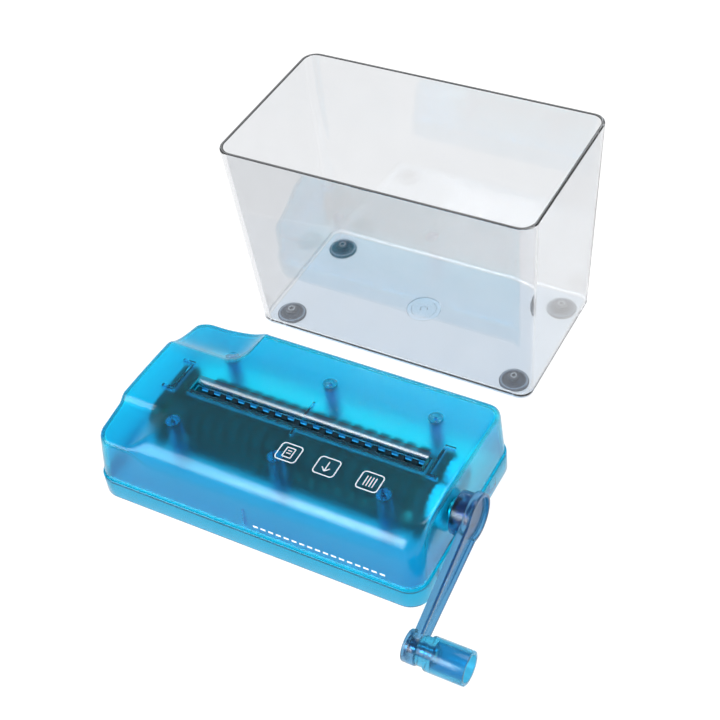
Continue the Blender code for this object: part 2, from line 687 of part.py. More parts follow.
def comb_finger(side):
    """Outline of a finger under the front cutter (side -1) or the rear one (+1), round its shaft."""
    clear = CORE_RADIUS + COMB_CLEARANCE
    opening = DROP_OPENING_Y[0] - FRONT_AXIS_Y - COMB_FROM_OPENING
    low = COMB_BAR_TOP - 1 * MM - AXIS_Z
    inner_foot = (opening, low)
    outer_foot = (opening - COMB_BAR_DEPTH, low)
    points = [outer_foot, inner_foot, (2.6 * MM, -7.1 * MM)]
    points += arc((0.0, 0.0), clear, 292, 212, 6)
    points.append((opening - COMB_BAR_DEPTH, -4.6 * MM))
    if side > 0:
        points = [(-y, z) for y, z in reversed(points)]
    return points


def make_comb(name, side, first, count, parent):
    opening = DROP_OPENING_Y[0] - FRONT_AXIS_Y - COMB_FROM_OPENING
    bar = sorted((side * -opening, side * (COMB_BAR_DEPTH - opening)))
    bm = bmesh.new()
    add_box(bm, COMB_BAR_X, bar, (DECK_TOP + 0.4 * MM - AXIS_Z, COMB_BAR_TOP - AXIS_Z))
    comb = make_object(name, bm, DARK, parent)
    fingers = bmesh.new()
    for index in range(count):
        middle = first + index * DISC_PITCH
        add_prism(fingers, comb_finger(side), middle - COMB_FINGER_WIDTH / 2,
                  middle + COMB_FINGER_WIDTH / 2, "X")
    boolean(comb, make_object(f"{name}_fingers", fingers, None, parent), "UNION")


# ---------------------------------------------------------------- crank and knob

def crank_outline(inset):
    """The plate's outline round the shaft: the head disc, the tapered arm and the round end, (y, z)."""
    head = CRANK_HEAD_RADIUS - inset
    end = CRANK_END_RADIUS - inset
    root = CRANK_ROOT_HALF - inset
    tip = CRANK_TIP_HALF - inset
    root_angle = 180 * asin(root / head) / pi
    tip_angle = 180 * asin(tip / end) / pi
    points = arc((0.0, 0.0), head, -(180 - root_angle), 180 - root_angle, 18)
    points += arc((-CRANK_LENGTH, 0.0), end, tip_angle, 360 - tip_angle, 12)
    return points


def make_crank():
    bm = bmesh.new()
    add_prism(bm, crank_outline(0.0), CRANK_PLATE_X[0], CRANK_PLATE_X[1], "X")
    crank = make_object("crank_arm", bm, BLUE, CRANK_FRAME)

    added = bmesh.new()
    add_cylinder(added, CRANK_HUB_RADIUS, CRANK_HUB_X[0], CRANK_HUB_X[1], segments=FINE)
    add_cylinder(added, CRANK_END_RADIUS - 0.05 * MM, CRANK_END_X[0], CRANK_PLATE_X[1] - 0.5 * MM,
                 (-CRANK_LENGTH, 0.0), segments=ROUND)
    boolean(crank, make_object("crank_additions", added, None, CRANK_FRAME), "UNION")

    recess = bmesh.new()
    add_prism(recess, crank_outline(CRANK_RECESS_RIM), CRANK_PLATE_X[1] - CRANK_RECESS,
              CRANK_PLATE_X[1] + 1 * MM, "X")
    boolean(crank, make_object("crank_recess", recess, None, CRANK_FRAME), "DIFFERENCE")
    seat = bmesh.new()
    add_cylinder(seat, CRANK_END_RADIUS - 0.6 * MM, CRANK_PLATE_X[1] - CRANK_RECESS - 0.5 * MM,
                 CRANK_PLATE_X[1] - 0.15 * MM, (-CRANK_LENGTH, 0.0), segments=ROUND)
    boolean(crank, make_object("crank_knob_seat", seat, None, CRANK_FRAME), "UNION")

    cuts = bmesh.new()
    add_cylinder(cuts, CRANK_HUB_RADIUS - CRANK_HUB_WALL, CRANK_HUB_X[0] - 1 * MM,
                 CRANK_HUB_X[1] - 1 * MM, segments=FINE)
    boolean(crank, make_object("crank_hub_hollow", cuts, None, CRANK_FRAME), "DIFFERENCE")
    socket = bmesh.new()
    add_cylinder(socket, CRANK_SOCKET_RADIUS, CRANK_HUB_X[0] + 0.2 * MM, CRANK_HUB_X[1] + 0.5 * MM,
                 segments=SMALL)
    boolean(crank, make_object("crank_socket", socket, None, CRANK_FRAME), "UNION")
    bores = bmesh.new()
    add_cylinder(bores, SHAFT_RADIUS + BORE_GAP, CRANK_HUB_X[0] - 1 * MM, FRONT_SHAFT_RIGHT + GAP,
                 segments=CUTTER_STEPS)
    add_cylinder(bores, PIN_RADIUS + BORE_GAP, CRANK_END_X[0] + 1 * MM, CRANK_END_X[1] + 1 * MM,
                 (-CRANK_LENGTH, 0.0), segments=SMALL)
    boolean(crank, make_object("crank_bores", bores, None, CRANK_FRAME), "DIFFERENCE")
    pocket = bmesh.new()
    add_cylinder(pocket, CRANK_END_POCKET_RADIUS, CRANK_END_X[0] - 1 * MM,
                 CRANK_END_X[0] + CRANK_END_POCKET_DEPTH, (-CRANK_LENGTH, 0.0), segments=ROUND)
    boolean(crank, make_object("crank_end_pocket", pocket, None, CRANK_FRAME), "DIFFERENCE")


def make_knob_pin():
    """The pin through the crank's end: a head in the end's pocket, and one inside the knob."""
    head = CRANK_END_X[0] + CRANK_END_POCKET_DEPTH - GAP
    inside = KNOB_FLOOR_X + GAP
    profile = [(head - PIN_HEAD, 0.0), (head - PIN_HEAD, PIN_HEAD_RADIUS), (head, PIN_HEAD_RADIUS),
               (head, PIN_RADIUS), (inside, PIN_RADIUS), (inside, PIN_HEAD_RADIUS),
               (inside + PIN_HEAD * 0.6, PIN_HEAD_RADIUS), (inside + PIN_HEAD, PIN_HEAD_RADIUS * 0.6),
               (inside + PIN_HEAD, 0.0)]
    lathe_x("knob_pin", profile, STEEL, KNOB_FRAME, SMALL)


def make_knob():
    start, end = KNOB_X
    shoulder_x = start + KNOB_NECK_LENGTH
    bore = PIN_RADIUS + BORE_GAP
    profile = [(start, KNOB_NECK_RADIUS - KNOB_EDGE / 2), (start + KNOB_EDGE / 2, KNOB_NECK_RADIUS),
               (shoulder_x, KNOB_NECK_RADIUS), (shoulder_x, KNOB_RADIUS - KNOB_EDGE),
               (shoulder_x + KNOB_EDGE, KNOB_RADIUS), (end - KNOB_EDGE / 2, KNOB_RADIUS),
               (end, KNOB_RADIUS - KNOB_EDGE / 2), (end, KNOB_HOLLOW_RADIUS),
               (KNOB_FLOOR_X, KNOB_HOLLOW_RADIUS), (KNOB_FLOOR_X, bore), (start, bore)]
    lathe_x("knob", profile, BLUE, KNOB_FRAME, FINE, closed=True)


# ---------------------------------------------------------------- the whole object

clear_scene()
PARTS = make_collection("mini_paper_shredder")
CUTTERS = make_collection("cutters")

CLEAR = make_material("clear_plastic", (0.86, 0.88, 0.90), 0.08, alpha=0.35)
BLUE = make_material("blue_translucent_plastic", (0.03, 0.38, 0.75), 0.28, alpha=0.75)
RUBBER = make_material("slate_rubber", (0.10, 0.13, 0.16), 0.75)
DARK = make_material("dark_plastic", (0.04, 0.045, 0.055), 0.5)
CUTTER = make_material("blackened_steel", (0.05, 0.055, 0.065), 0.45, 0.8)
STEEL = make_material("steel", (0.62, 0.62, 0.63), 0.3, 1.0)
BRASS = make_material("bearing_brass", (0.72, 0.55, 0.28), 0.35, 1.0)
NYLON = make_material("white_nylon", (0.86, 0.87, 0.86), 0.45)

BIN_FRAME = make_empty("bin_frame", BIN_AT)
HEAD_FRAME = make_empty("head_frame", HEAD_AT)
FRONT_FRAME = make_empty("front_cutter_axis", (0.0, FRONT_AXIS_Y, AXIS_Z), HEAD_FRAME)
REAR_FRAME = make_empty("rear_cutter_axis", (0.0, REAR_AXIS_Y, AXIS_Z), HEAD_FRAME)
CRANK_FRAME = make_empty("crank_frame", (0.0, 0.0, 0.0), FRONT_FRAME, CRANK_DIP)
KNOB_FRAME = make_empty("knob_axis", (0.0, -CRANK_LENGTH, 0.0), CRANK_FRAME)

make_bin()
for number, spot in enumerate(foot_places(), 1):
    make_foot(number, spot)

make_base_frame()
make_cover()
for number, spot in enumerate(boss_places(), 1):
    make_screw(number, spot)

make_plate("bearing_plate_left", PLATE_LEFT_X)
make_plate("bearing_plate_right", PLATE_RIGHT_X)
make_bush("bush_front_left", PLATE_LEFT_X, 1, FRONT_FRAME)
make_bush("bush_rear_left", PLATE_LEFT_X, 1, REAR_FRAME)
make_bush("bush_front_right", PLATE_RIGHT_X, -1, FRONT_FRAME)
make_bush("bush_rear_right", PLATE_RIGHT_X, -1, REAR_FRAME)
make_crank_bush()
make_comb("comb_front", -1, FIRST_REAR_DISC, REAR_DISCS, FRONT_FRAME)
make_comb("comb_rear", 1, FIRST_FRONT_DISC + DISC_PITCH, REAR_DISCS - 1, REAR_FRAME)

make_shaft("front_shaft", FRONT_SHAFT_RIGHT, FRONT_FRAME)
make_cutter("front_cutter", FIRST_FRONT_DISC, FRONT_DISCS, FRONT_FRAME)
make_gear("front_gear", 0.0, FRONT_FRAME)
make_clip("clip_front_left", PLATE_LEFT_X[0] - GAP - CLIP_WIDTH, FRONT_FRAME)
make_crank()
make_knob_pin()
make_knob()

make_shaft("rear_shaft", REAR_SHAFT_RIGHT, REAR_FRAME)
make_cutter("rear_cutter", FIRST_REAR_DISC, REAR_DISCS, REAR_FRAME)
make_gear("rear_gear", 0.5, REAR_FRAME)
make_clip("clip_rear_left", PLATE_LEFT_X[0] - GAP - CLIP_WIDTH, REAR_FRAME)
make_clip("clip_rear_right", GEAR_X[1] + GAP, REAR_FRAME)
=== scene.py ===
"""Looks of the hand-crank paper shredder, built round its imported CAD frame. Metres, +Z up."""
from math import atan2, cos, exp, hypot, pi, radians, sin, sqrt

import bmesh
import bpy
from mathutils import Matrix, Vector


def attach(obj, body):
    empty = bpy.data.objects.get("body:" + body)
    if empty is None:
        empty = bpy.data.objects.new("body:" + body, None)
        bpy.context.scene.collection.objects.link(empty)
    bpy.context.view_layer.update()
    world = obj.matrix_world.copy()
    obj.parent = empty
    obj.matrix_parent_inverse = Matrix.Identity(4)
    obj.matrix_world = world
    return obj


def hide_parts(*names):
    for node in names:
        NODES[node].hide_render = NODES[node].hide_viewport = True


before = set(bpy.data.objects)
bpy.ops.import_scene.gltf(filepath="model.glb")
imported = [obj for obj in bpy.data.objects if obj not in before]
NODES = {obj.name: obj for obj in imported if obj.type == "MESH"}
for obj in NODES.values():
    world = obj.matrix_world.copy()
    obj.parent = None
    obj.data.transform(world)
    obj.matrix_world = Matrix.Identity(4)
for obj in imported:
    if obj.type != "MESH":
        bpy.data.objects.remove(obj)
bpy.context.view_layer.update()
MM = 0.001

# ---------------------------------------------------------------- dimensions, as in the CAD

BIN_AT = Vector((-13.555, 73.45, 0.0)) * MM
HEAD_AT = Vector((-15.585, -43.55, 0.0)) * MM
BIN_BOTTOM, BIN_TOP, BIN_WALL, BIN_FILLET = 2.2, 108.4, 1.7, 1.6
BIN_FLOOR_HALF, BIN_RIM_HALF = (72.4, 38.8), (77.4, 43.6)
FOOT_AT = (60.7, 26.7)
BASE_HALF, BASE_WALL = (81.65, 46.2), 1.8
COVER_HALF, COVER_WALL = (80.75, 45.3), 2.0
COVER_BOTTOM, COVER_TOP = 11.1, 38.5
PLAN_RADIUS, END_RADIUS = 8.6, 2.6          # the cover's corners seen from above, and its ends' top edges
BACK_RADIUS, BACK_LOSS = 4.5, 3.5           # the back's top edge, and how much less it is at the scoop
FRONT_RADIUS, FRONT_LOSS = 13.5, 10.5       # the roll in front, and how much less it is left of the shoulder
FRONT_DRAFT, BACK_DRAFT, END_DRAFT = 0.12, 0.035, 0.045
CROWN, CROWN_Y, CROWN_REACH = 1.9, -12.0, 42.0
SHOULDER_DROP, SHOULDER_SLOPE = 3.0, 0.14
SCOOP_DEPTH, SCOOP_EASE, SCOOP_SLOPE = 4.8, 6.0, 0.1
SLOT_LIP, SLOT_NOSE = 3.8, 0.5
GUIDES, GUIDE_HALF = 18, 1.45
BOSS_RADIUS, BOSS_SINK = 3.3, 1.0
CHANNEL_Y, RIB = (-6.4, 12.6), 1.4
SLOT_X, SLOT_Y = (-52.0, 63.2), (-4.0, 1.8)
THROAT_BOTTOM = 34.3
BOSS_X, BOSS_Y = (-49.0, 3.0, 55.0), (-22.6, 25.4)
AXIS_Z, FRONT_Y, REAR_Y = 25.2, -9.85, 5.35
PITCH, FIRST_DISC = 6.4, -48.8
ROLLER_ENDS, SLEEVE_RADIUS, DISC_RADIUS, DISC_TEETH = (-59.0, 63.5), 6.2, 8.4, 9
NOTCH_DEPTH, NOTCH_HALF = 0.9, 0.12
SHAFT_RADIUS, BORE_RADIUS = 3.0, 3.3
GEAR_X, GEAR_TEETH = (70.6, 75.6), 16
CRANK_DIP, CRANK_LENGTH = radians(17.35), 59.0
SHOULDER_X, SHOULDER_Y = (-50.0, -64.0), (-17.0, -21.5)
SCOOP_X, SCOOP_Y, SCOOP_CORNER = -40.5, 19.0, 10.0
FLAT = 0.5                                  # straight stretch beside a rounded corner
DASHES, DASH_STEP, DASH_LENGTH, DASH_Z = 17, 3.8, 2.4, 15.2
GRAIN_DEPTH = 0.0001

# rings of the bin's rim, from outside to inside, as (inset, corner radius, depth below the top)
BIN_RIM = ((0.07, 7.25, 0.9), (0.05, 7.25, 0.5), (0.15, 7.2, 0.15), (0.45, 7.0, 0.0),
           (1.3, 6.3, 0.0), (1.6, 6.0, 0.15), (1.7, 5.9, 0.5), (1.72, 5.9, 0.9))
# rings of the base's skirt, up from the deck's underside and round to its top, as (inset, radius, z)
BASE_RINGS = ((BASE_WALL, 7.7, 8.0), (BASE_WALL, 7.7, 0.4), (1.5, 8.0, 0.0), (0.5, 9.0, 0.0),
              (0.12, 9.4, 0.18), (0.0, 9.5, 0.6), (0.0, 9.5, 10.0), (0.1, 9.4, 10.4),
              (0.4, 9.1, 10.6), (1.6, 7.9, 10.6), (BASE_WALL, 7.7, 10.5), (BASE_WALL, 7.7, 10.0))
# layers of the crank's plate, from its back to its sunk front, as (x, inset)
CRANK_PLATE = ((87.6, 0.8), (87.6, 0.4), (87.72, 0.12), (88.0, 0.0), (91.0, 0.0), (91.28, 0.12),
               (91.4, 0.4), (91.4, 1.4), (91.3, 1.6), (91.0, 1.7), (90.2, 1.75), (89.9, 2.0), (89.9, 2.4))

# places in the lists of materials of the bin, the base and the cover
BIN_FLOOR, BIN_RIM_SHADE, BIN_LIT_EDGE, BIN_GATE = 1, 2, 3, 4
DECK = 1
INSIDE, RIBS, BOSS_SHADE_BAND, FINGERS, LIP_SHADE = 1, 2, 3, 4, 5


# ---------------------------------------------------------------- materials

def new_material(name):
    mat = bpy.data.materials.new(name)
    mat.use_nodes = True
    return mat, mat.node_tree, mat.node_tree.nodes["Principled BSDF"]


def noise(tree, scale, detail=3.0, stretch=(1, 1, 1)):
    where = tree.nodes.new("ShaderNodeTexCoord")
    place = tree.nodes.new("ShaderNodeMapping")
    place.inputs["Scale"].default_value = stretch
    tree.links.new(where.outputs["Object"], place.inputs["Vector"])
    texture = tree.nodes.new("ShaderNodeTexNoise")
    texture.inputs["Scale"].default_value = scale
    texture.inputs["Detail"].default_value = detail
    tree.links.new(place.outputs["Vector"], texture.inputs["Vector"])
    return texture.outputs["Fac"]


def spread(tree, source, socket, low, high):
    """Drives a socket between two values by a noise."""
    ramp = tree.nodes.new("ShaderNodeMapRange")
    ramp.inputs["From Min"].default_value = 0.3
    ramp.inputs["From Max"].default_value = 0.7
    ramp.inputs["To Min"].default_value = low
    ramp.inputs["To Max"].default_value = high
    tree.links.new(source, ramp.inputs["Value"])
    tree.links.new(ramp.outputs["Result"], socket)


def tint(tree, source, socket, first, second):
    """Drives a colour between two tints by a noise."""
    ramp = tree.nodes.new("ShaderNodeValToRGB")
    ramp.color_ramp.elements[0].position = 0.3
    ramp.color_ramp.elements[1].position = 0.7
    ramp.color_ramp.elements[0].color = (*first, 1)
    ramp.color_ramp.elements[1].color = (*second, 1)
    tree.links.new(source, ramp.inputs["Fac"])
    tree.links.new(ramp.outputs["Color"], socket)


def bump(tree, shader, source, strength, distance):
    node = tree.nodes.new("ShaderNodeBump")
    node.inputs["Strength"].default_value = strength
    node.inputs["Distance"].default_value = distance
    tree.links.new(source, node.inputs["Height"])
    tree.links.new(node.outputs["Normal"], shader.inputs["Normal"])


def with_place(tree, source, axis, span):
    """Adds the place along an axis between two positions to a part of a noise, for a painted shade that
    follows the place.
    """
    where = tree.nodes.new("ShaderNodeTexCoord")
    split = tree.nodes.new("ShaderNodeSeparateXYZ")
    tree.links.new(where.outputs["Object"], split.inputs["Vector"])
    ramp = tree.nodes.new("ShaderNodeMapRange")
    ramp.inputs["From Min"].default_value, ramp.inputs["From Max"].default_value = span
    ramp.inputs["To Min"].default_value = 0.25
    ramp.inputs["To Max"].default_value = 0.65
    tree.links.new(split.outputs[axis], ramp.inputs["Value"])
    add = tree.nodes.new("ShaderNodeMath")
    add.operation = "MULTIPLY_ADD"
    add.inputs[1].default_value = 0.1
    tree.links.new(source, add.inputs[0])
    tree.links.new(ramp.outputs["Result"], add.inputs[2])
    return add.outputs["Value"]


def darken_edge(tree, socket, colour):
    """Painted shade on the outline: turns a colour socket towards another colour where the surface is seen
    at a glancing angle.
    """
    facing = tree.nodes.new("ShaderNodeLayerWeight")
    power = tree.nodes.new("ShaderNodeMath")
    power.operation = "POWER"
    power.inputs[1].default_value = 4.0
    mix = tree.nodes.new("ShaderNodeMix")
    mix.data_type = "RGBA"
    mix.inputs[7].default_value = (*colour, 1)
    source = socket.links[0].from_socket
    tree.links.new(facing.outputs["Facing"], power.inputs[0])
    tree.links.new(power.outputs["Value"], mix.inputs[0])
    tree.links.new(source, mix.inputs[6])
    tree.links.new(mix.outputs[2], socket)


def see_through(name, first, second, roughness, ior, shadow, shade=None, clarity=1.0, edge=None):
    """Transparent plastic, tinted by what one wall lets through.

    shade is the axis and the span of a painted shade, on which the tint runs from first to second.
    edge is the colour of a painted shade along the outline, where the surface is seen at a glancing angle.
    """
    mat, tree, shader = new_material(name)
    shader.inputs["Transmission Weight"].default_value = clarity
    shader.inputs["IOR"].default_value = ior
    cloud = noise(tree, 60)
    if shade:
        cloud = with_place(tree, cloud, *shade)
    tint(tree, cloud, shader.inputs["Base Color"], first, second)
    if edge:
        darken_edge(tree, shader.inputs["Base Color"], edge)
    spread(tree, noise(tree, 120, 2), shader.inputs["Roughness"], *roughness)
    out = tree.nodes["Material Output"]
    path = tree.nodes.new("ShaderNodeLightPath")
    clear = tree.nodes.new("ShaderNodeBsdfTransparent")
    clear.inputs["Color"].default_value = (*shadow, 1)
    mix = tree.nodes.new("ShaderNodeMixShader")
    tree.links.new(path.outputs["Is Shadow Ray"], mix.inputs["Fac"])
    tree.links.new(shader.outputs["BSDF"], mix.inputs[1])
    tree.links.new(clear.outputs["BSDF"], mix.inputs[2])
    tree.links.new(mix.outputs["Shader"], out.inputs["Surface"])
    return mat


def solid(name, first, second, roughness, metallic=0.0, scale=300, stretch=(1, 1, 1), grain=0.1,
          shine=0.5):
    """Opaque material. scale and stretch are those of its noise, grain the strength of its bump."""
    mat, tree, shader = new_material(name)
    shader.inputs["Metallic"].default_value = metallic
    shader.inputs["Specular IOR Level"].default_value = shine
    tint(tree, noise(tree, scale, 4, stretch), shader.inputs["Base Color"], first, second)
    spread(tree, noise(tree, scale * 2, 3, stretch), shader.inputs["Roughness"], *roughness)
    bump(tree, shader, noise(tree, scale * 4, 3, stretch), grain, GRAIN_DEPTH)
    return mat


SHADE = (0.3, 0.8, 0.96)
PALE = (0.96, 0.965, 0.97)
# The colour the blue parts' outlines turn to: a painted shade where they are seen edge-on.
EDGE_SHADE = (0.03, 0.07, 0.11)
# Painted shade: spans along which the tint darkens, the cover's lower down and the deck's towards the front,
# in the rollers' shadow.
COVER_SHADE_SPAN = ("Z", (0.013, 0.034))
DECK_SHADOW_SPAN = ("Y", (-0.064, -0.028))
LOW_BLUE, HIGH_BLUE = (0.005, 0.54, 0.79), (0.02, 0.77, 1.0)


def blue_plastic(name, first, second, roughness, shade=None, edge=None, ior=1.38):
    return see_through("blue_" + name, first, second, roughness, ior, SHADE, shade, edge=edge)


def clear_plastic(name, first, second, roughness, clarity=1.0):
    return see_through("clear_" + name, first, second, roughness, 1.5, PALE, clarity=clarity)


# The cover's tint is darker lower down: painted shade.
BLUE_OUT = blue_plastic("outside", LOW_BLUE, HIGH_BLUE, (0.15, 0.21), COVER_SHADE_SPAN, EDGE_SHADE)
BLUE_IN = blue_plastic("inside", LOW_BLUE, HIGH_BLUE, (0.34, 0.40), COVER_SHADE_SPAN)
BLUE_RIB = blue_plastic("ribs", (0.03, 0.40, 0.70), (0.04, 0.44, 0.74), (0.18, 0.24))
# The bosses' dark band where they meet the top: painted shade.
BLUE_BOSS_SHADE = blue_plastic("boss_shade", (0.003, 0.02, 0.05), (0.005, 0.03, 0.07), (0.2, 0.3))
# The slot's lip is smoky grey: painted shade of the dark rollers under it.
BLUE_LIP_SHADE = blue_plastic("lip", (0.12, 0.17, 0.21), (0.16, 0.21, 0.25), (0.20, 0.26), ior=1.7)
BLUE_SKIRT = blue_plastic("skirt", (0.0, 0.40, 0.62), (0.005, 0.43, 0.66), (0.14, 0.20), edge=EDGE_SHADE)
# The deck runs from dark in front to bright behind: painted shadow of the rollers.
BLUE_DECK = blue_plastic("deck", (0.05, 0.48, 0.72), (0.20, 0.98, 1.0), (0.24, 0.32), DECK_SHADOW_SPAN)
BLUE_CRANK = blue_plastic("crank", (0.10, 0.31, 0.52), (0.12, 0.34, 0.56), (0.18, 0.24), edge=EDGE_SHADE)
BLUE_KNOB = blue_plastic("knob", (0.06, 0.44, 0.68), (0.07, 0.47, 0.72), (0.18, 0.24), edge=EDGE_SHADE)
CLEAR = clear_plastic("plastic", (0.76, 0.77, 0.785), (0.775, 0.785, 0.80), (0.02, 0.05))
CLEAR_FLOOR = clear_plastic("floor", (0.72, 0.81, 0.90), (0.75, 0.83, 0.91), (0.04, 0.08))
CLEAR_GATE = clear_plastic("gate", (0.62, 0.80, 0.96), (0.66, 0.83, 0.97), (0.16, 0.24))
# The rim's top is dark grey and half milky: painted shade, for the dark line clear plastic shows along its
# edge.
CLEAR_RIM_SHADE = clear_plastic("rim", (0.26, 0.265, 0.27), (0.32, 0.325, 0.33), (0.20, 0.26), 0.5)
# The outer bottom edge is pale and milky: painted light, so that it shows no dark line.
CLEAR_LIT_EDGE = clear_plastic("edge", (0.80, 0.82, 0.84), (0.84, 0.86, 0.88), (0.3, 0.4), 0.3)
GUIDE = solid("pale_guide", (0.10, 0.46, 0.72), (0.14, 0.52, 0.78), (0.3, 0.4))
BIN_MATS = [CLEAR, CLEAR_FLOOR, CLEAR_RIM_SHADE, CLEAR_LIT_EDGE, CLEAR_GATE]
BASE_MATS = [BLUE_SKIRT, BLUE_DECK]
COVER_MATS = [BLUE_OUT, BLUE_IN, BLUE_RIB, BLUE_BOSS_SHADE, GUIDE, BLUE_LIP_SHADE]
RUBBER = solid("slate_rubber", (0.035, 0.045, 0.06), (0.05, 0.062, 0.08), (0.5, 0.65), scale=900)
# Painted highlights for the feet's stem end and sole edge.
RUBBER_HIGHLIGHT = solid("rubber_highlight", (0.26, 0.29, 0.32), (0.32, 0.35, 0.38), (0.3, 0.4), scale=900)
DARK = solid("dark_plastic", (0.014, 0.013, 0.015), (0.022, 0.021, 0.024), (0.5, 0.6), scale=700,
             shine=0.15)
CUTTER = solid("blackened_steel", (0.012, 0.012, 0.013), (0.022, 0.021, 0.022), (0.5, 0.6),
               stretch=(6, 1, 1), shine=0.15)
STEEL = solid("turned_steel", (0.55, 0.55, 0.56), (0.68, 0.67, 0.66), (0.18, 0.3), 1.0, scale=250,
              stretch=(14, 1, 1), grain=0.05)
SCREW = solid("zinc_screw", (0.42, 0.43, 0.45), (0.55, 0.55, 0.54), (0.25, 0.4), 1.0, scale=500)
BRASS = solid("bearing_brass", (0.66, 0.48, 0.22), (0.76, 0.58, 0.30), (0.25, 0.4), 1.0, scale=400)
NYLON = solid("white_nylon", (0.78, 0.79, 0.78), (0.88, 0.89, 0.88), (0.35, 0.5), scale=350)
INK = solid("printed_ink", (0.64, 0.74, 0.80), (0.74, 0.84, 0.90), (0.45, 0.6), scale=1500)


# ---------------------------------------------------------------- mesh helpers

def make_object(name, bm, mats, body=None, at=(0, 0, 0), angle=32):
    bmesh.ops.recalc_face_normals(bm, faces=bm.faces)
    mesh = bpy.data.meshes.new(name)
    bm.to_mesh(mesh)
    bm.free()
    mesh.shade_smooth()
    mesh.set_sharp_from_angle(angle=radians(angle))
    for mat in mats:
        mesh.materials.append(mat)
    obj = bpy.data.objects.new(name, mesh)
    bpy.context.scene.collection.objects.link(obj)
    mesh.transform(Matrix.Translation(at))
    if body:
        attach(obj, body)
    return obj


def boolean(obj, other, operation):
    mod = obj.modifiers.new(operation.lower(), "BOOLEAN")
    mod.operation = operation
    mod.solver = "EXACT"
    mod.use_self = True
    mod.object = other


def bevel(obj, width, segments=2, angle=40):
    mod = obj.modifiers.new("edge", "BEVEL")
    mod.width = width * MM
    mod.segments = segments
    mod.limit_method = "ANGLE"
    mod.angle_limit = radians(angle)
    mod.use_clamp_overlap = True


def settle(obj, *helpers, angle=32):
    """Applies the modifiers and removes the helper objects."""
    graph = bpy.context.evaluated_depsgraph_get()
    mesh = bpy.data.meshes.new_from_object(obj.evaluated_get(graph))
    obj.modifiers.clear()
    obj.data = mesh
    mesh.shade_smooth()
    mesh.set_sharp_from_angle(angle=radians(angle))
    for helper in helpers:
        bpy.data.objects.remove(helper)
    return obj


def scaled(points):
    return [tuple(c * MM for c in p) for p in points]


def paint(faces, index):
    for face in faces:
        face.material_index = index


def add_rings(bm, rings, caps=True, loop=False, index=0):
    """Skins a row of rings, in mm, each with as many points."""
    rows = [[bm.verts.new(p) for p in scaled(ring)] for ring in rings]
    count = len(rows[0])
    faces = []
    pairs = list(zip(rows, rows[1:]))
    if loop:
        pairs.append((rows[-1], rows[0]))
    for low, high in pairs:
        for i in range(count):
            j = (i + 1) % count
            faces.append(bm.faces.new((low[i], low[j], high[j], high[i])))
    if caps and not loop:
        faces.append(bm.faces.new(list(reversed(rows[0]))))
        faces.append(bm.faces.new(rows[-1]))
    paint(faces, index)
    return faces


def arc(centre, radius, start, end, steps):
    angles = [radians(start + (end - start) * i / steps) for i in range(steps + 1)]
    return [(centre[0] + radius * cos(a), centre[1] + radius * sin(a)) for a in angles]


def grown(half, by):
    return half[0] + by, half[1] + by


def rounded(half, radius, steps=12):
    """A rectangle with rounded corners. The point beside each corner keeps the shading flat between them."""
    cx, cy = half[0] - radius, half[1] - radius
    points = []
    for centre, angle in (((cx, cy), 0), ((-cx, cy), 90), ((-cx, -cy), 180), ((cx, -cy), 270)):
        corner = arc(centre, radius, angle, angle + 90, steps)
        turn = radians(angle)
        points.append((corner[0][0] + FLAT * sin(turn), corner[0][1] - FLAT * cos(turn)))
        points += corner
        points.append((corner[-1][0] - FLAT * cos(turn), corner[-1][1] - FLAT * sin(turn)))
    return points


def level(half, radius, z, steps=12):
    return [(x, y, z) for x, y in rounded(half, radius, steps)]


def circle_x(x, radius, steps, centre=(0.0, 0.0)):
    turns = [2 * pi * i / steps for i in range(steps)]
    return [(x, centre[0] + radius * cos(turn), centre[1] + radius * sin(turn)) for turn in turns]


def circle_z(z, radius, steps, centre=(0.0, 0.0)):
    turns = [2 * pi * i / steps for i in range(steps)]
    return [(centre[0] + radius * cos(turn), centre[1] + radius * sin(turn), z) for turn in turns]


def turned(bm, profile, steps=48, axis="X", centre=(0.0, 0.0), index=0):
    """A turned piece from (position, radius) points. A profile off the axis at both ends is a loop."""
    ring = circle_x if axis == "X" else circle_z
    closed = profile[0][1] > 0.01 and profile[-1][1] > 0.01
    points = profile if closed else [(p, max(r, 0.05)) for p, r in profile]
    rings = [ring(p, r, steps, centre) for p, r in points]
    return add_rings(bm, rings, caps=not closed, loop=closed, index=index)


def add_box(bm, x, y, z, index=0):
    size = Matrix.Diagonal(((x[1] - x[0]) * MM, (y[1] - y[0]) * MM, (z[1] - z[0]) * MM, 1))
    middle = Matrix.Translation(Vector(((x[0] + x[1]) / 2, (y[0] + y[1]) / 2, (z[0] + z[1]) / 2)) * MM)
    made = bmesh.ops.create_cube(bm, size=1.0, matrix=middle @ size)
    paint({f for v in made["verts"] for f in v.link_faces}, index)


def prism_x(bm, outline, start, end):
    return add_rings(bm, [[(x, y, z) for y, z in outline] for x in (start, end)])


def stand_for(node):
    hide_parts(node)


# ---------------------------------------------------------------- bin

def foot_places():
    return [(sx * FOOT_AT[0], sy * FOOT_AT[1]) for sy in (-1, 1) for sx in (-1, 1)]


def fillet(half, radius, bottom):
    """Rings up the tub's rounded bottom edge."""
    rings = []
    for step in range(5):
        angle = pi / 2 * step / 4
        inset = BIN_FILLET * (1 - sin(angle))
        rings.append(level(grown(half, -inset), radius - inset, bottom + BIN_FILLET * (1 - cos(angle))))
    return rings


